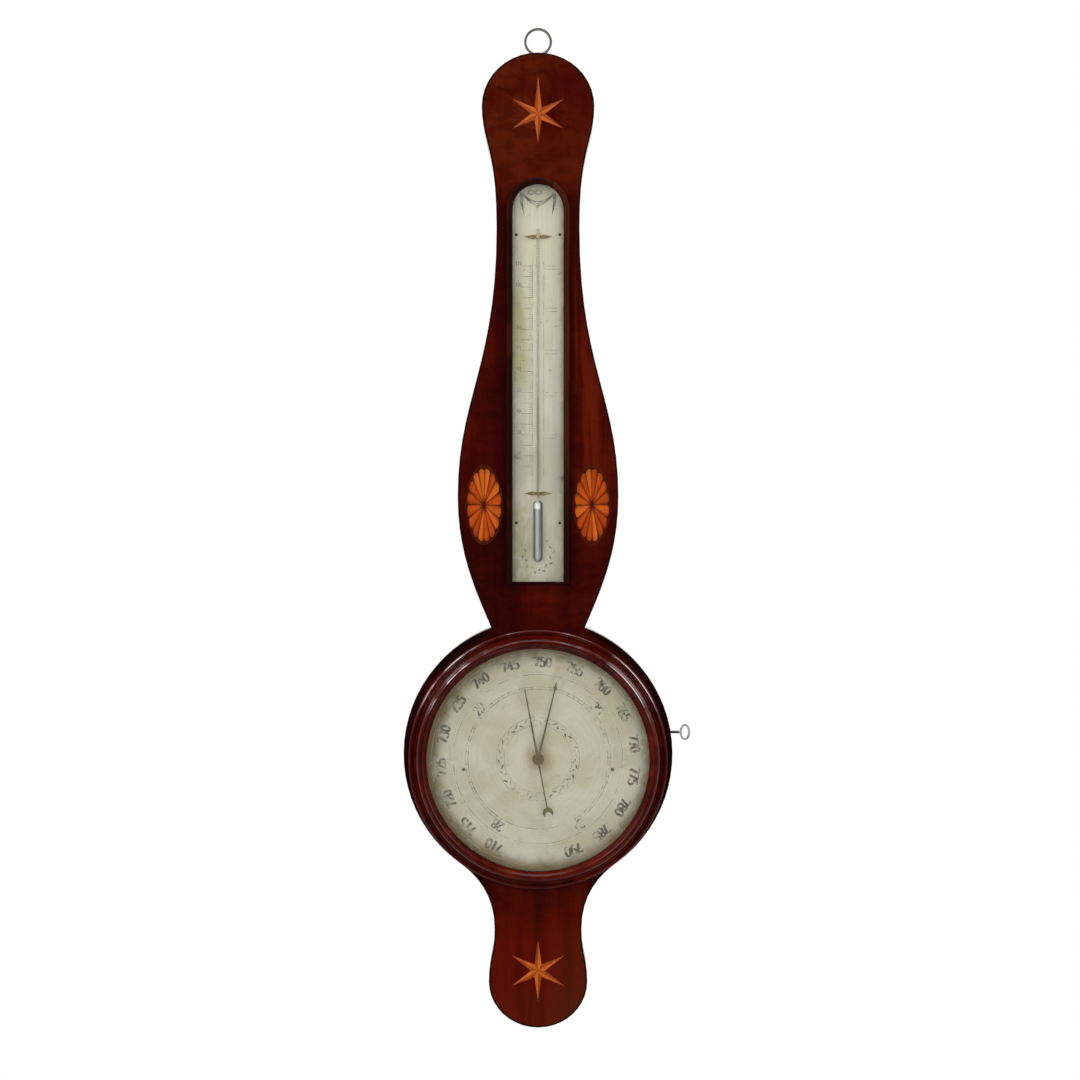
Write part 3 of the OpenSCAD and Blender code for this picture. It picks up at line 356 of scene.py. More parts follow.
def scorched_petals(pale, deep, scorch):
    """Petals shaded in hot sand along one side of each, and at both ends."""
    m = Finish("satinwood_petals")
    place = m.place()
    x = m.split(place, "X")
    streak = m.noise(place, (500, 500, 90), 3, 0.5)
    cloud = m.noise(place, (140, 140, 90), 3, 0.6)
    colour = m.mix(pale, deep, m.mask(streak * 0.4 + cloud * 0.6, 0.36, 0.66))
    dx = (m.math("ABSOLUTE", x) - fan_x) / fan_half_w
    dz = (m.split(place, "Z") - fan_z) / fan_half_h
    reach = (dx * dx + dz * dz) ** 0.5
    turn = m.math("ARCTAN2", dz, dx) * (PETALS / math.tau) + PETALS
    across = m.math("FRACT", turn)
    number = m.math("FLOOR", turn) + m.math("SIGN", x) * 50
    tone = m.node("ShaderNodeTexWhiteNoise", {"noise_dimensions": "1D"}, {"W": number})
    colour = m.mix(colour, srgb(186, 96, 32), m.mask(tone, 0.55, 1.0) * 0.6)
    colour = m.mix(colour, srgb(128, 44, 8), m.mask(tone, 0.45, 0.0) * 0.6)
    shade = m.mask(across + (cloud - 0.5) * 0.3, 0.5, 0.02) * 0.7 * m.mask(reach, 0.1, 0.5)
    shade = shade + m.mask(reach, 0.34, 0.05) * 0.55 + m.mask(reach, 0.74, 0.92) * 0.3
    colour = m.mix(colour, scorch, m.node("ShaderNodeClamp", {}, {0: shade}))
    return polished_inlay(m, colour, cloud, streak)


PAINTED_LIGHT_SIDE = (0.0, 0.02)
PAINTED_LIGHT_TOP = (-0.46, -0.36)


def ebonised():
    """Blackened wood, worn brown in places, with painted light that makes it browner at the upper right."""
    m = Finish("ebonised_wood")
    place = m.place()
    streak = m.noise(place, (500, 500, 20), 3)
    wear = m.mask(m.noise(place, (60, 60, 25), 4), 0.58, 0.72)
    colour = m.mix(srgb(12, 4, 2), srgb(52, 15, 5), streak * 0.4 + wear * 0.5)
    # Painted light: the upper right is made browner, as if lit from the right.
    painted_right_light = m.mask(m.split(place, "X"), *PAINTED_LIGHT_SIDE) * m.mask(m.split(place, "Z"), *PAINTED_LIGHT_TOP)
    colour = m.mix(colour, srgb(70, 28, 11), painted_right_light * m.mask(streak, 0.25, 0.65) * 0.55)
    return m.set(Base_Color=colour, Roughness=0.46 + wear * 0.2, Specular_IOR_Level=0.02,
                 Normal=m.bump(streak, 0.1, 0.3 * MM))


def plain_deal():
    """Unpolished pine with dust in it."""
    m = Finish("plain_pine")
    place = m.place()
    rings = m.noise(place, (70, 70, 3), 2, 0.8)
    fibre = m.noise(place, (900, 900, 25), 3)
    dust = m.noise(place, (25, 25, 18), 4)
    colour = m.ramp(rings * 0.7 + fibre * 0.3, (0.32, srgb(104, 68, 38)), (0.52, srgb(140, 98, 58)),
                    (0.7, srgb(160, 118, 74)))
    colour = m.tint(colour, srgb(120, 108, 98), m.mask(dust, 0.5, 0.7) * 0.5)
    return m.set(Base_Color=colour, Roughness=0.72 + fibre * 0.12, Specular_IOR_Level=0.25,
                 Normal=m.bump(fibre, 0.25, 0.4 * MM))


# Silvered plates

RIM_START = 18 * MM
RIM_FULL = 3 * MM
RIM_LEAN = -0.03
HUB_STAIN = (18 * MM, 4 * MM)
DIAL_BACK = (-0.3 * MM, -0.1 * MM)


def silvered_dial():
    """Yellowed silvering with a brown rim, wider at the left, that is partly tarnish and partly painted
    shadow of the bezel; turned lines and a plain brass back.
    """
    m = Finish("silvered_dial")
    place = m.place()
    reach = m.reach(place, dial_z)
    cloud = m.noise(place, (24, 24, 24), 5, 0.6)
    blotch = m.noise(place, (70, 70, 70), 5, 1.0)
    specks = m.noise(place, (900, 900, 900), 2)
    turned = m.node("ShaderNodeTexNoise", {"noise_dimensions": "1D"},
                    {"W": reach, "Scale": 2600.0, "Detail": 2.0})
    colour = m.mix(srgb(214, 207, 187), srgb(199, 189, 162), m.mask(cloud, 0.37, 0.63))
    colour = m.mix(colour, srgb(180, 165, 128), m.mask(blotch, 0.57, 0.74) * 0.5)
    colour = m.tint(colour, srgb(232, 228, 220), m.mask(turned, 0.4, 0.7))
    # Painted shadow of the bezel, mixed with tarnish: a ragged brown rim.
    ragged = reach + (blotch - 0.5) * 12 * MM + m.split(place, "X") * RIM_LEAN
    rim = m.mask(ragged, dial_radius - RIM_START, dial_radius - RIM_FULL)
    colour = m.mix(colour, srgb(116, 95, 40), rim * 0.95)
    hub = m.mask(reach + (blotch - 0.5) * 20 * MM, *HUB_STAIN)
    colour = m.mix(colour, srgb(150, 126, 80), hub * 0.6)
    colour = m.tint(colour, srgb(120, 104, 80), m.mask(specks, 0.7, 0.8) * 0.7)
    back = m.mask(m.split(place, "Y") - dial_high.y, *DIAL_BACK)
    tarnished = m.mix(srgb(172, 136, 76), srgb(116, 86, 46), m.mask(cloud * 0.5 + blotch * 0.5, 0.38, 0.6))
    colour = m.mix(colour, tarnished, back)
    return m.set(Base_Color=colour, Metallic=0.12 + back * 0.8, Roughness=0.5 + blotch * 0.12,
                 Normal=m.bump(turned * 0.6 + blotch * 0.4, 0.06, 0.3 * MM))


PALE_TOP = (-0.4, -0.18)
STAIN_SIDE = (-4 * MM, -14 * MM)
STAIN_FOOT = (-0.335, -0.3)
STAIN_TOP = (-0.215, -0.25)
LOW_STAIN_SIDE = (0.0, -12 * MM)
LOW_STAIN_TOP = (-0.415, -0.44)
PLATE_EDGE = (18.5 * MM, 24.5 * MM)


def silvered_plate():
    """The thermometer's silvered plate, with its green-yellow stains, and sides darkened with painted shade
    next to the frame.
    """
    m = Finish("silvered_plate")
    place = m.place()
    x = m.split(place, "X")
    z = m.split(place, "Z")
    cloud = m.noise(place, (40, 40, 22), 5, 0.6)
    blotch = m.noise(place, (120, 120, 80), 5, 0.8)
    brushed = m.noise(place, (2400, 2400, 16), 2)
    colour = m.mix(srgb(214, 208, 188), srgb(198, 190, 166), m.mask(cloud, 0.35, 0.65))
    colour = m.mix(colour, srgb(226, 217, 192), m.mask(z, *PALE_TOP) * 0.7)
    stain = m.mask(x, *STAIN_SIDE) * m.mask(z, *STAIN_FOOT) * m.mask(z, *STAIN_TOP)
    colour = m.mix(colour, srgb(194, 182, 128), stain * m.mask(cloud, 0.3, 0.55) * 0.9)
    low_stain = m.mask(x, *LOW_STAIN_SIDE) * m.mask(z, *LOW_STAIN_TOP)
    colour = m.mix(colour, srgb(182, 172, 128), low_stain * m.mask(blotch, 0.35, 0.6) * 0.7)
    # Painted shade: the plate is darkened along its sides, next to the frame.
    edge = m.mask(m.math("ABSOLUTE", x) + (blotch - 0.5) * 4 * MM, *PLATE_EDGE)
    colour = m.mix(colour, srgb(128, 116, 84), edge * 0.75)
    colour = m.tint(colour, srgb(228, 222, 212), m.mask(brushed, 0.45, 0.7) * 0.6)
    colour = m.tint(colour, srgb(140, 122, 90), m.mask(blotch, 0.64, 0.76) * 0.7)
    return m.set(Base_Color=colour, Metallic=0.12, Roughness=0.48 + blotch * 0.12,
                 Normal=m.bump(brushed, 0.05, 0.3 * MM))


def worn_wax(name, ink, plate, low, high):
    """Black wax in an engraved line, worn away in patches down to the silver."""
    m = Finish(name)
    place = m.place()
    worn = m.noise(place, (160, 160, 160), 4, 0.5)
    fine = m.noise(place, (1100, 1100, 1100), 2)
    colour = m.mix(ink, plate, m.mask(worn * 0.75 + fine * 0.25, low, high))
    return m.set(Base_Color=colour, Roughness=0.6 + fine * 0.1)


# Metals, glass, mercury and silk

def metal(name, bright, dull, rough, grain):
    """Metal with tarnish in clouds and fine scratches."""
    m = Finish(name)
    place = m.place()
    cloud = m.noise(place, (260, 260, 260), 5, 0.3)
    scratch = m.noise(place, grain, 2)
    tarnish = m.mask(cloud, 0.28, 0.78)
    return m.set(Base_Color=m.mix(bright, dull, tarnish), Metallic=1.0,
                 Roughness=rough + tarnish * 0.1 + scratch * 0.1,
                 Normal=m.bump(scratch, 0.08, 0.2 * MM))


SHANK_END = (0.0, -2.5 * MM)


def worn_key():
    """Steel that is bright at the bow, where it is handled, and dark along the shank."""
    m = Finish("key_steel")
    place = m.place()
    cloud = m.noise(place, (300, 300, 300), 4, 0.6)
    scratch = m.noise(place, (900, 900, 900), 2)
    colour = m.mix(srgb(178, 178, 181), srgb(122, 120, 120), m.mask(cloud, 0.4, 0.66))
    colour = m.mix(colour, srgb(44, 37, 32), m.mask(m.split(place, "X") - bow_x, *SHANK_END))
    return m.set(Base_Color=colour, Metallic=0.45, Roughness=0.34 + scratch * 0.12,
                 Normal=m.bump(scratch, 0.08, 0.2 * MM))


def clear_glass(name, tint):
    """Old glass with a slight wave."""
    m = Finish(name)
    place = m.place()
    wave = m.noise(place, (14, 14, 9), 2)
    smear = m.noise(place, (40, 40, 26), 4)
    return m.set(Base_Color=tint, Transmission_Weight=1.0, IOR=1.45, Roughness=smear * 0.02,
                 Normal=m.bump(wave, 0.02, 1.0 * MM))


TUBE_STEM = (56 * MM, 62 * MM)


def thin_glass():
    """The wall of a fine tube, which shows as a grey veil."""
    m = Finish("stem_glass")
    place = m.place()
    cloud = m.noise(place, (90, 90, 40), 3)
    stem = m.mask(m.split(place, "Z") - bulb_low, *TUBE_STEM)
    colour = m.mix(srgb(150, 147, 134), srgb(120, 117, 104), cloud)
    return m.set(Base_Color=colour, Roughness=0.08 + cloud * 0.04, Alpha=0.04 + stem * 0.1)


def liquid_mercury():
    """Mercury in the weather tube."""
    m = Finish("mercury")
    cloud = m.noise(m.place(), (220, 220, 120), 3)
    return m.set(Base_Color=m.mix(srgb(236, 237, 238), srgb(204, 205, 206), cloud), Metallic=0.45,
                 Roughness=0.24 + cloud * 0.08)


PAINTED_HIGHLIGHT_X = -0.9 * MM
PAINTED_HIGHLIGHT_WIDTH = (2.6 * MM, 0.3 * MM)
NECK_WIDTH = (3.6 * MM, 1.6 * MM)
NECK_FOOT = (47 * MM, 49.5 * MM)
NECK_TOP = (55 * MM, 52 * MM)
COLUMN_FOOT = (57 * MM, 60 * MM)


def bulb_mercury():
    """Mercury in the thermometer, with painted highlights along one side and at the neck of the bulb."""
    m = Finish("bulb_mercury")
    place = m.place()
    cloud = m.noise(place, (220, 220, 60), 3)
    aside = m.math("ABSOLUTE", m.split(place, "X") - PAINTED_HIGHLIGHT_X)
    height = m.split(place, "Z") - bulb_low
    # Painted highlights: a bright stripe down one side, and a bright band at the neck of the bulb.
    painted_highlight = m.mask(aside, *PAINTED_HIGHLIGHT_WIDTH) * (0.6 + cloud * 0.4)
    neck = m.mask(height, *NECK_FOOT) * m.mask(height, *NECK_TOP) * m.mask(aside, *NECK_WIDTH)
    colour = m.mix(srgb(98, 97, 94), srgb(196, 195, 192), painted_highlight)
    colour = m.mix(colour, srgb(236, 236, 236), neck)
    colour = m.mix(colour, srgb(116, 113, 104), m.mask(height, *COLUMN_FOOT))
    return m.set(Base_Color=colour, Metallic=0.1, Roughness=0.2 + cloud * 0.1)


def twisted_silk():
    """Silk thread with its twist."""
    m = Finish("silk")
    twist = m.node("ShaderNodeTexWave", {"bands_direction": "DIAGONAL"},
                   {"Vector": m.place(), "Scale": 1800.0})
    return m.set(Base_Color=m.mix(srgb(214, 204, 178), srgb(164, 150, 120), twist), Roughness=0.7,
                 Normal=m.bump(twist, 0.4, 0.1 * MM))


# Finishes of the nodes

case_wood = mahogany("case_mahogany", srgb(42, 2, 0), srgb(58, 5, 0), srgb(78, 16, 2), 0.16, bare_back=True)
front_wood = mahogany("front_mahogany", srgb(42, 3, 0), srgb(55, 4, 0), srgb(72, 13, 1), 0.12, aged_and_shaded=True)
bezel_wood = mahogany("bezel_mahogany", srgb(38, 3, 0), srgb(56, 6, 1), srgb(78, 17, 4), 0.17, shine=0.1,
                      patched=True)
star_light = star_inlay("satinwood_light", srgb(176, 88, 28), srgb(150, 70, 20), srgb(140, 66, 32))
star_dark = star_inlay("satinwood_shaded", srgb(140, 62, 19), srgb(112, 46, 13), srgb(112, 50, 24))
petal_wood = scorched_petals(srgb(165, 66, 13), srgb(138, 52, 9), srgb(78, 24, 5))
ground_wood = inlay("fan_ground", srgb(66, 22, 7), srgb(46, 13, 4))
# Painted shade: a dark strip along the front's rounded edge.
edge_shade_wood = inlay("painted_edge_shade", srgb(30, 8, 4), srgb(12, 4, 2))
black_wood = ebonised()
pine = plain_deal()
dial_silver = silvered_dial()
plate_silver = silvered_plate()
brass = metal("brass", srgb(198, 164, 92), srgb(150, 116, 58), 0.3, (1800, 200, 1800))
dark_brass = metal("dark_brass", srgb(146, 130, 84), srgb(88, 76, 44), 0.34, (1800, 200, 1800))
hand_metal = metal("hand_metal", srgb(132, 120, 84), srgb(90, 80, 52), 0.42, (1600, 200, 1600))
steel = metal("steel", srgb(176, 174, 170), srgb(112, 108, 104), 0.3, (300, 1800, 1800))
dark_steel = metal("dark_steel", srgb(70, 62, 50), srgb(40, 35, 28), 0.45, (900, 900, 900))
iron = metal("iron", srgb(150, 147, 142), srgb(98, 94, 90), 0.36, (900, 300, 900))
worn_brass = metal("worn_brass", srgb(140, 122, 84), srgb(104, 88, 56), 0.5, (900, 900, 900))
key_steel = worn_key()
mercury = liquid_mercury()
thermometer_mercury = bulb_mercury()
sheet_glass = clear_glass("sheet_glass", (0.97, 0.985, 0.975))
tube_glass = clear_glass("tube_glass", (0.95, 0.975, 0.965))
stem_glass = thin_glass()
silk = twisted_silk()
number_wax = worn_wax("number_wax", srgb(94, 84, 64), srgb(190, 182, 156), 0.42, 0.7)
faint_wax = worn_wax("faint_wax", srgb(104, 94, 72), srgb(200, 192, 168), 0.4, 0.62)
garland_wax = worn_wax("garland_wax", srgb(112, 104, 80), srgb(182, 174, 148), 0.46, 0.7)
wreath_wax = worn_wax("wreath_wax", srgb(86, 76, 56), srgb(202, 194, 170), 0.42, 0.56)

BY_NODE = {
    "case_carcase": case_wood, "front_veneer": front_wood, "bezel": bezel_wood,
    "star_light_rays": star_light, "star_shaded_rays": star_dark,
    "fan_grounds": ground_wood, "fan_petals": petal_wood,
    "thermo_frame": black_wood, "dial_spacer": black_wood,
    "back_door": pine, "channel_covers": pine,
    "dial_plate": dial_silver, "thermo_plate": plate_silver,
    "indicator_hand": hand_metal, "set_hand": hand_metal, "hand_cap": dark_brass,
    "thermo_clips": dark_brass, "dial_screws": worn_brass, "thermo_screws": dark_steel,
    "hanging_plate": iron, "setting_key": key_steel,
    "float_thread": silk, "counter_thread": silk,
    "bezel_glass": sheet_glass, "thermo_glass": sheet_glass,
    "thermo_tube": stem_glass, "glass_float": tube_glass, "counterweight": tube_glass}
BY_SLOT = {"glass": tube_glass, "mercury": mercury, "brass": brass, "steel": steel}

SOFT_BEND = math.cos(math.radians(24))
FACETED = ("case_carcase", "front_veneer", "bezel", "thermo_frame")


def soften(mesh):
    """Shades shallow facets as one curve, and keeps edges sharp."""
    def spot(vertex):
        return tuple(round(c, 6) for c in mesh.vertices[vertex].co)

    meeting = {}
    for polygon in mesh.polygons:
        polygon.use_smooth = True
        for vertex in polygon.vertices:
            meeting.setdefault(spot(vertex), []).append(polygon)
    normals = []
    for polygon in mesh.polygons:
        for vertex in polygon.vertices:
            others = meeting[spot(vertex)]
            near = [other for other in others if other.normal.dot(polygon.normal) > SOFT_BEND]
            normals.append(sum((other.normal * other.area for other in near), Vector()).normalized())
    mesh.normals_split_custom_set(normals)


for name in FACETED:
    soften(nodes[name].data)
for row in frame["record"]["subparts"]:
    name = row["node"]
    nodes[name].data.materials.clear()
    nodes[name].data.materials.append(BY_NODE.get(name) or BY_SLOT[row["material_slot"]])


# New pieces

def placed(name, data):
    """A new object in the scene."""
    thing = bpy.data.objects.new(name, data)
    bpy.context.scene.collection.objects.link(thing)
    return thing


def new_piece(name, mesh, finish):
    """A new piece of the object, with its finish."""
    piece = placed(name, mesh)
    mesh.materials.clear()
    mesh.materials.append(finish)
    return piece


def in_mm(*sizes):
    """Sizes in millimetres, as metres."""
    return [size * MM for size in sizes]


# Engraved figures and lines

def arc(cx, cy, rx, ry, start, end):
    """Points of an arc, its angles in degrees."""
    count = max(4, int(abs(end - start) / 12))
    angles = [math.radians(start + (end - start) * i / count) for i in range(count + 1)]
    return [(cx + rx * math.cos(a), cy + ry * math.sin(a)) for a in angles]


FIGURE_WIDTH = 0.6
FIGURES = {
    "0": [arc(0.3, 0.5, 0.23, 0.46, 0, 360)],
    "1": [[(0.3, 0.03), (0.3, 0.97)], [(0.3, 0.96), (0.14, 0.85)], [(0.13, 0.03), (0.47, 0.03)]],
    "2": [arc(0.29, 0.7, 0.21, 0.26, 170, -35) + [(0.06, 0.04)],
          [(0.05, 0.04), (0.55, 0.04), (0.56, 0.16)]],
    "3": [arc(0.28, 0.74, 0.19, 0.22, 160, -90), arc(0.28, 0.27, 0.24, 0.25, 90, -165)],
    "4": [[(0.4, 0.03), (0.4, 0.97)], [(0.4, 0.96), (0.05, 0.3), (0.57, 0.3)]],
    "5": [[(0.5, 0.96), (0.17, 0.95), (0.13, 0.52)], arc(0.28, 0.31, 0.24, 0.28, 130, -160)],
    "6": [arc(0.3, 0.3, 0.23, 0.27, 0, 360), arc(0.46, 0.32, 0.39, 0.64, 180, 92)],
    "7": [[(0.07, 0.82), (0.08, 0.95), (0.54, 0.95)], [(0.54, 0.95), (0.24, 0.03)]],
    "8": [arc(0.3, 0.74, 0.18, 0.22, 0, 360), arc(0.3, 0.26, 0.23, 0.25, 0, 360)],
    "9": [arc(0.3, 0.7, 0.23, 0.27, 0, 360), arc(0.14, 0.68, 0.39, 0.64, 0, -88)]}
PROUD = 0.04 * MM


class Engraving:
    """Flat raised lines on a plate that faces -Y, gathered in one mesh."""

    def __init__(self, name, face_y, finish):
        self.name = name
        self.face_y = face_y
        self.finish = finish
        self.points = []
        self.faces = []

    def ribbon(self, path, widths):
        """A line through path, as a closed strip of its own width at each point."""
        first = len(self.points)
        last = len(path) - 1
        for i, (x, z) in enumerate(path):
            ax, az = path[max(0, i - 1)]
            bx, bz = path[min(last, i + 1)]
            if path[0] == path[last] and i in (0, last):
                ax, az = path[last - 1]
                bx, bz = path[1]
            length = math.hypot(bx - ax, bz - az) or 1.0
            nx = -(bz - az) / length * widths[i] / 2
            nz = (bx - ax) / length * widths[i] / 2
            for y in (self.face_y, self.face_y - PROUD):
                self.points.append((x + nx, y, z + nz))
                self.points.append((x - nx, y, z - nz))
        for i in range(last):
            a = first + 4 * i
            b = a + 4
            self.faces += [(a + 2, b + 2, b + 3, a + 3), (a, a + 1, b + 1, b),
                           (a, b, b + 2, a + 2), (a + 1, a + 3, b + 3, b + 1)]
        end = first + 4 * last
        self.faces += [(first, first + 2, first + 3, first + 1), (end, end + 1, end + 3, end + 2)]

    def even(self, path, width):
        """A line of one width through path."""
        self.ribbon(path, [width] * len(path))

    def ring(self, radius, centre_z, width, start=0.0, end=360.0):
        """A ring or part of one, its angles in degrees clockwise from the top."""
        count = max(6, int(abs(end - start) / 2))
        angles = [math.radians(90 - start - (end - start) * i / count) for i in range(count + 1)]
        path = [(radius * math.cos(a), centre_z + radius * math.sin(a)) for a in angles]
        if abs(end - start) == 360:
            path[-1] = path[0]
        self.even(path, width)

    def number(self, text, height, at, turn, thick, thin):
        """Figures centred at a point. Upright strokes are thick and level strokes thin."""
        c = math.cos(turn)
        s = math.sin(turn)
        offset = -len(text) * FIGURE_WIDTH / 2
        for k, figure in enumerate(text):
            for stroke in FIGURES[figure]:
                path = []
                widths = []
                for i, (u, v) in enumerate(stroke):
                    au, av = stroke[max(0, i - 1)]
                    bu, bv = stroke[min(len(stroke) - 1, i + 1)]
                    upright = abs(bv - av) / (math.hypot(bu - au, bv - av) or 1.0)
                    widths.append(height * (thin + (thick - thin) * upright))
                    px = (offset + k * FIGURE_WIDTH + u) * height
                    pz = (v - 0.5) * height
                    path.append((at[0] + px * c + pz * s, at[1] - px * s + pz * c))
                self.ribbon(path, widths)

    def make(self):
        """Turns the lines into a piece that stays with the case."""
        mesh = bpy.data.meshes.new(self.name)
        mesh.from_pydata(self.points, [], self.faces)
        mesh.update()
        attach(new_piece(self.name, mesh, self.finish), "case")


# Dial. Its scale is in inches of mercury, and angles are in degrees clockwise from the top.

DEG_PER_INCH = 99.0
MIDDLE_INCH = 29.5
LOW_INCH = 28
HIGH_INCH = 31
INCH_MM = 25.4
INCH_RING = 71.0 * MM
OUTER_RING = 89.0 * MM


def on_dial(radius, degrees):
    """The x and z of a point on the dial."""
    a = math.radians(degrees)
    return radius * math.sin(a), dial_z + radius * math.cos(a)


def dial_angle(inches):
    """Where a height of mercury stands on the dial, in degrees."""
    return (inches - MIDDLE_INCH) * DEG_PER_INCH


def dial_figures():
    """Inches of mercury on the inner ring, and millimetres on the outer one."""
    inner = Engraving("inch_figures", dial_face_y, faint_wax)
    for inches in range(LOW_INCH, HIGH_INCH + 1):
        degrees = dial_angle(inches)
        at = on_dial(INCH_RING, degrees)
        inner.number(str(inches), 9.0 * MM, at, math.radians(degrees), 0.22, 0.08)
    inner.make()
    outer = Engraving("millimetre_figures", dial_face_y, number_wax)
    for millimetres in range(710, 795, 5):
        degrees = dial_angle(millimetres / INCH_MM)
        at = on_dial(OUTER_RING, degrees)
        outer.number(str(millimetres), 9.2 * MM, at, math.radians(degrees), 0.26, 0.09)
    outer.make()


RINGS_MM = ((31.0, 0.4), (38.0, 0.35), (64.0, 0.5), (77.5, 0.45), (97.5, 0.35))
INCH_LINE = 64.0 * MM
INCH_SHORT = 66.2 * MM
INCH_MIDDLING = 68.0 * MM
INCH_LONG = 69.5 * MM
INCH_STEPS = 60
OUTER_LINE = 79.0 * MM
OUTER_SHORT = 80.5 * MM
OUTER_LONG = 81.5 * MM
OUTER_STEPS = 180


def dial_lines():
    """Turned rings, the division of the inches, and a fine division outside it."""
    lines = Engraving("dial_lines", dial_face_y, faint_wax)
    for radius, width in RINGS_MM:
        lines.ring(radius * MM, dial_z, width * MM)
    low = dial_angle(LOW_INCH)
    high = dial_angle(HIGH_INCH)
    lines.ring(INCH_SHORT, dial_z, 0.4 * MM, low, high)
    for i in range(INCH_STEPS + 1):
        degrees = low + (high - low) * i / INCH_STEPS
        end = INCH_SHORT if i % 2 else INCH_MIDDLING if i % 10 else INCH_LONG
        lines.even([on_dial(INCH_LINE, degrees), on_dial(end, degrees)], 0.45 * MM)
    for i in range(OUTER_STEPS):
        degrees = i * 360 / OUTER_STEPS
        end = OUTER_SHORT if i % 5 else OUTER_LONG
        lines.even([on_dial(OUTER_LINE, degrees), on_dial(end, degrees)], 0.3 * MM)
    lines.make()


WREATH_RING = 34.5 * MM
WREATH_LEAVES = 48
WREATH_LEAN = 2.6 * MM
LEAF_TURN = 7.0


def dial_wreath():
    """A worn ring of small leaves round the middle of the dial."""
    wreath = Engraving("dial_wreath", dial_face_y, wreath_wax)
    for i in range(WREATH_LEAVES):
        degrees = i * 360 / WREATH_LEAVES
        lean = WREATH_LEAN if i % 2 else -WREATH_LEAN
        path = [on_dial(WREATH_RING + lean * t, degrees + LEAF_TURN * t) for t in (0.0, 0.35, 0.7, 1.0)]
        wreath.ribbon(path, in_mm(0.3, 1.5, 1.2, 0.2))
    wreath.make()


dial_figures()
dial_lines()
dial_wreath()


# Thermometer plate

SWAG_HALF = 14
SWAGS_MM = ((7.0, 1.1), (8.8, 0.8), (10.4, 0.6))
TASSEL_X = 13.6
TASSEL_STEP = 1.1
TASSEL_DROP = 21.0
TASSEL_SHORTER = 4.0
BOW_RISE = 1.5 * MM
BOW_X = -3.0


def swag(marks, top):
    """A draped garland with a bow above it and tassels at each end."""
    for sag, width in SWAGS_MM:
        path = []
        for x in range(-SWAG_HALF, SWAG_HALF + 1):
            path.append((x * MM, top - sag * MM * (1 - (x / SWAG_HALF) ** 2)))
        marks.even(path, width * MM)
    for side in (-1, 1):
        for k in range(3):
            x = side * (TASSEL_X + TASSEL_STEP * k) * MM
            drop = (TASSEL_DROP - TASSEL_SHORTER * k) * MM
            path = []
            for t in (0, 0.25, 0.5, 0.75, 1):
                path.append((x + side * 0.6 * MM * math.sin(4.2 * t), top + BOW_RISE - drop * t))
            marks.ribbon(path, in_mm(0.5, 1.0, 0.8, 1.1, 0.3))
        marks.even(arc((side * 3.2 + BOW_X) * MM, top + BOW_RISE, 3.0 * MM, 1.7 * MM, 0, 330), 0.7 * MM)


GARLAND_LEAVES = 13
GARLAND_HALF_W = 13.0 * MM
GARLAND_HALF_H = 17.0 * MM
GARLAND_LEAN = 2.4 * MM


def foot_garland(marks, middle_z):
    """Small leaves in a half round below the bulb."""
    for i in range(GARLAND_LEAVES):
        a = math.pi * (0.93 + 1.14 * i / (GARLAND_LEAVES - 1))
        lean = GARLAND_LEAN if i % 2 else -GARLAND_LEAN
        path = []
        for t in (0.0, 0.5, 1.0):
            x = (GARLAND_HALF_W + lean * t) * math.cos(a + 0.2 * t)
            z = (GARLAND_HALF_H + lean * t) * math.sin(a + 0.2 * t)
            path.append((x, middle_z + z))
        marks.ribbon(path, in_mm(0.4, 1.9, 0.3))


SCALE_TOP = -0.212
SCALE_STEP = 9.7 * MM
SCALE_MARKS = 20
SCALE_SIDE = 5.2 * MM
SCALE_ABOVE = 4 * MM
LONG_MARK = 15.5 * MM
SHORT_MARK = 8.2 * MM
FIGURE_X = -17.8 * MM
FIGURE_RISE = 2.4 * MM
TOP_DEGREES = 110
PAIR_START = 6.5 * MM
PAIR_END = 17.5 * MM
PAIR_GAP = 3.2 * MM
SWAG_BELOW_TOP = 9 * MM
GARLAND_RISE = 27 * MM


def thermometer_scale():
    """Degrees at the left of the tube, pairs of lines at its right, and garlands above and below."""
    marks = Engraving("thermometer_lines", plate_face_y, faint_wax)
    figures = Engraving("thermometer_figures", plate_face_y, number_wax)
    for i in range(SCALE_MARKS):
        z = SCALE_TOP - i * SCALE_STEP
        marks.even([(-LONG_MARK, z), (-SCALE_SIDE, z)], 0.5 * MM)
        if i % 2 == 0:
            figures.number(str(TOP_DEGREES - 5 * i), 3.6 * MM, (FIGURE_X, z + FIGURE_RISE), 0.0, 0.14, 0.06)
        for k in range(1, 5):
            level = z - k * SCALE_STEP / 5
            marks.even([(-SHORT_MARK, level), (-SCALE_SIDE, level)], 0.35 * MM)
    for x in (-SCALE_SIDE, SCALE_SIDE):
        marks.even([(x, SCALE_TOP + SCALE_ABOVE), (x, SCALE_TOP - SCALE_MARKS * SCALE_STEP)], 0.35 * MM)
    for i in range(0, SCALE_MARKS, 4):
        for drop in (0.0, PAIR_GAP):
            z = SCALE_TOP - i * SCALE_STEP - drop
            marks.even([(PAIR_START, z), (PAIR_END, z)], 0.5 * MM)
    ornament = Engraving("plate_garlands", plate_face_y, garland_wax)
    swag(ornament, plate_high.z - SWAG_BELOW_TOP)
    foot_garland(ornament, plate_low.z + GARLAND_RISE)
    ornament.make()
    marks.make()
    figures.make()


thermometer_scale()


# Mercury of the thermometer

SWELL = 0.06 * MM


def thermometer_column():
    """The mercury a hair thicker, so that it meets the glass inside its wall and isn't lost there."""
    low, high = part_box("thermo_mercury")
    axis_y = (low.y + high.y) / 2
    mesh = nodes["thermo_mercury"].data.copy()
    for vertex in mesh.vertices:
        away = Vector((vertex.co.x, vertex.co.y - axis_y, 0.0))
        vertex.co += away.normalized() * SWELL
    piece = new_piece("thermometer_column", mesh, thermometer_mercury)
    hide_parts("thermo_mercury")
    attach(piece, "case")


thermometer_column()


# Painted shade: a dark line along the edge of the front

FLAT = 0.01 * MM
EDGE_WIDTH = 1.5 * MM


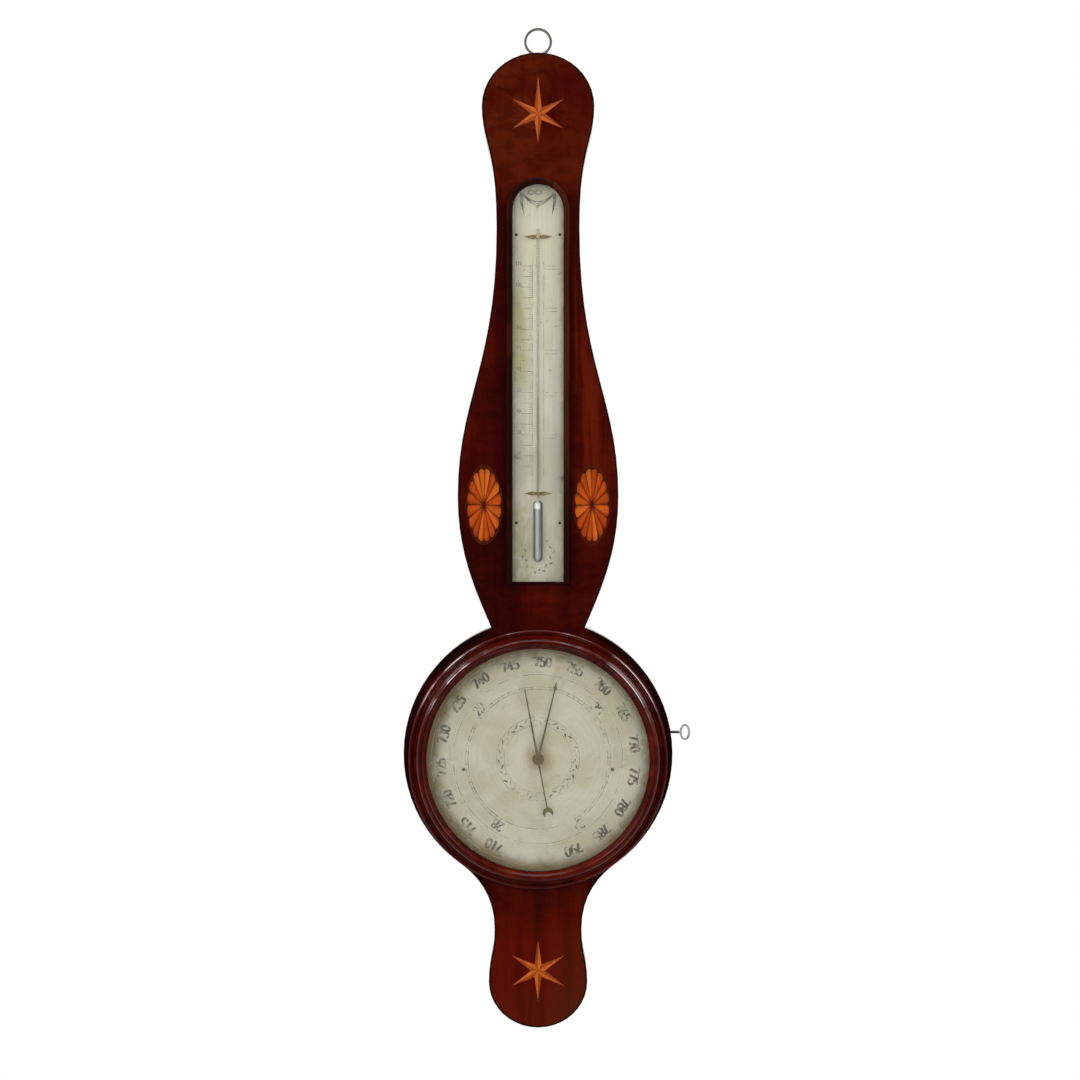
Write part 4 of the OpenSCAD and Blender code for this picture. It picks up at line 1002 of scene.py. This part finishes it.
def front_outline(node, face_y):
    """The tallest loop of edges round the faces of a node that lie at one depth."""
    edges = set()
    for polygon in node.data.polygons:
        corners = [node.matrix_world @ node.data.vertices[i].co for i in polygon.vertices]
        if all(abs(corner.y - face_y) < FLAT for corner in corners):
            places = [(round(corner.x, 6), round(corner.z, 6)) for corner in corners]
            for a, b in zip(places, places[1:] + places[:1]):
                if (b, a) in edges:
                    edges.remove((b, a))
                else:
                    edges.add((a, b))
    follows = dict(sorted(edges))
    loops = []
    while follows:
        loop = list(follows.popitem())
        while loop[-1] in follows:
            loop.append(follows.pop(loop[-1]))
        loops.append(loop)
    return max(loops, key=lambda loop: max(z for x, z in loop) - min(z for x, z in loop))


def drawn_in(loop, distance):
    """A closed loop moved towards its inside."""
    points = loop[:-1]
    area = sum(a[0] * b[1] - b[0] * a[1] for a, b in zip(loop, loop[1:]))
    side = distance if area > 0 else -distance
    moved = []
    for i, (x, z) in enumerate(points):
        ax, az = points[i - 1]
        bx, bz = points[(i + 1) % len(points)]
        length = math.hypot(bx - ax, bz - az)
        moved.append((x - (bz - az) / length * side, z + (bx - ax) / length * side))
    return moved + moved[:1]


edge_shade_line = Engraving("edge_shade_line", front_y, edge_shade_wood)
edge_shade_line.even(drawn_in(front_outline(nodes["front_veneer"], front_y), EDGE_WIDTH / 2), EDGE_WIDTH)
edge_shade_line.make()


# Thread over the pulley

def thread_turn():
    """The half turn of silk over the pulley, between the two straight threads."""
    low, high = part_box("float_thread")
    middle = (low + high) / 2
    angles = [math.radians(a) for a in range(0, 181, 10)]
    curve = bpy.data.curves.new("thread_turn", "CURVE")
    curve.dimensions = "3D"
    curve.bevel_depth = (high.x - low.x) / 2
    curve.bevel_resolution = 4
    curve.use_fill_caps = True
    spline = curve.splines.new("POLY")
    spline.points.add(len(angles) - 1)
    for point, a in zip(spline.points, angles):
        point.co = (middle.x * math.cos(a), middle.y, dial_z + middle.x * math.sin(a), 1)
    drawn = placed("thread_path", curve)
    bpy.context.view_layer.update()
    shape = drawn.evaluated_get(bpy.context.evaluated_depsgraph_get())
    mesh = bpy.data.meshes.new_from_object(shape)
    bpy.data.objects.remove(drawn)
    for polygon in mesh.polygons:
        polygon.use_smooth = True
    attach(new_piece("thread_turn", mesh, silk), "case")


thread_turn()


# Threads and mercury as pieces of their own

def stretching(name, node, finish):
    """A copy of a node in place, as a piece of its own, with the node hidden."""
    mesh = nodes[node].data.copy()
    mesh.transform(nodes[node].matrix_world)
    piece = new_piece(name, mesh, finish)
    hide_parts(node)
    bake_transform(piece)


stretching("float_line", "float_thread", silk)
stretching("counter_line", "counter_thread", silk)
stretching("float_column", "float_mercury", mercury)
stretching("top_column", "top_mercury", mercury)


# Stage

def white_behind(finish, strength_elsewhere):
    """How much a ray sees plain white: those of the camera, of gloss and of glass."""
    seen = finish.node("ShaderNodeLightPath", out="Is Camera Ray")
    for ray in ("Is Glossy Ray", "Is Transmission Ray"):
        seen = finish.math("MAXIMUM", seen, finish.node("ShaderNodeLightPath", out=ray))
    return strength_elsewhere + (1 - strength_elsewhere) * seen


class Sky(Finish):
    """The world's nodes."""

    def __init__(self):
        self.world = bpy.data.worlds.new("studio")
        self.world.use_nodes = True
        self.tree = self.world.node_tree


SKY_LIGHT = 0.5
sky = Sky()
bpy.context.scene.world = sky.world
background = sky.tree.nodes["Background"]
sky.feed(background.inputs["Color"], (1, 1, 1))
sky.feed(background.inputs["Strength"], white_behind(sky, SKY_LIGHT))


def flat_sheet(name, corners, finish):
    """One flat face that isn't part of the object."""
    mesh = bpy.data.meshes.new(name)
    mesh.from_pydata(corners, [], [(0, 1, 2, 3)])
    mesh.materials.append(finish)
    sheet = placed(name, mesh)
    return sheet


WHITE_AWAY = (0.8, 2.2)


def pale_floor():
    """A pale floor that turns plain white away from the object."""
    m = Finish("pale_floor")
    m.set(Base_Color=(0.86, 0.86, 0.85), Roughness=0.8)
    away = m.node("ShaderNodeVectorMath", {"operation": "LENGTH"}, {0: m.place()}, out="Value")
    share = white_behind(m, 0.0) * m.mask(away, *WHITE_AWAY)
    pale = Wire(m, m.shader.outputs[0])
    shown = m.node("ShaderNodeMixShader", {}, {0: share, 1: pale, 2: m.node("ShaderNodeEmission")})
    m.feed(m.output.inputs[0], shown)
    return m.material


FLOOR_DROP = 0.9
FLOOR_HALF = 9.0
floor_corners = [(-FLOOR_HALF, -FLOOR_HALF, 0), (FLOOR_HALF, -FLOOR_HALF, 0),
                 (FLOOR_HALF, FLOOR_HALF, 0), (-FLOOR_HALF, FLOOR_HALF, 0)]
floor = flat_sheet("floor", floor_corners, pale_floor())
floor.location.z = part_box("case_carcase")[0].z - FLOOR_DROP


# Card behind the camera, which only the polish mirrors

def dark_cloth():
    """Near-black cloth of the card."""
    m = Finish("dark_card")
    cloth = m.noise(m.place(), (40, 40, 40), 2)
    return m.set(Base_Color=m.mix((0.004, 0.004, 0.004), (0.01, 0.01, 0.01), cloth), Roughness=0.9)


CARD_HALF = 4.0
CARD_Y = -2.6
CARD_Z = -0.45
card_corners = [(-CARD_HALF, CARD_Y, CARD_Z - CARD_HALF), (-CARD_HALF, CARD_Y, CARD_Z + CARD_HALF),
                (CARD_HALF, CARD_Y, CARD_Z + CARD_HALF), (CARD_HALF, CARD_Y, CARD_Z - CARD_HALF)]
card = flat_sheet("dark_card", card_corners, dark_cloth())
card.visible_camera = False
card.visible_diffuse = False
card.visible_shadow = False
card.visible_transmission = False


# Lights

LIGHT_AIM = Vector((0.0, 0.0, -0.46))


def soft_box(name, place, width, height, power):
    """A rectangular lamp aimed at the middle of the object."""
    lamp = bpy.data.lights.new(name, "AREA")
    lamp.shape = "RECTANGLE"
    lamp.size = width
    lamp.size_y = height
    lamp.energy = power
    lit = placed(name, lamp)
    lit.location = place
    lit.rotation_euler = (LIGHT_AIM - Vector(place)).to_track_quat("-Z", "Y").to_euler()


soft_box("left_light", (-1.5, -1.6, 0.6), 0.9, 1.4, power=40)
soft_box("right_light", (1.6, -1.5, 0.2), 0.8, 1.4, power=27)
soft_box("top_light", (0.0, -0.5, 1.3), 1.2, 0.7, power=20)


# Camera

CAMERA_GAP = 2.2
CAMERA_Z = -0.464
FRAME_WIDTH = 0.988
AXIS_OFFSET = 0.0018
SENSOR = 36
camera = bpy.data.cameras.new("camera")
camera.sensor_width = SENSOR
camera.lens = SENSOR * CAMERA_GAP / FRAME_WIDTH
eye = placed("camera", camera)
eye.location = (AXIS_OFFSET, front_y - CAMERA_GAP, CAMERA_Z)
eye.rotation_euler = (math.radians(90), 0, 0)
bpy.context.scene.camera = eye
bpy.context.scene.view_settings.view_transform = "Standard"
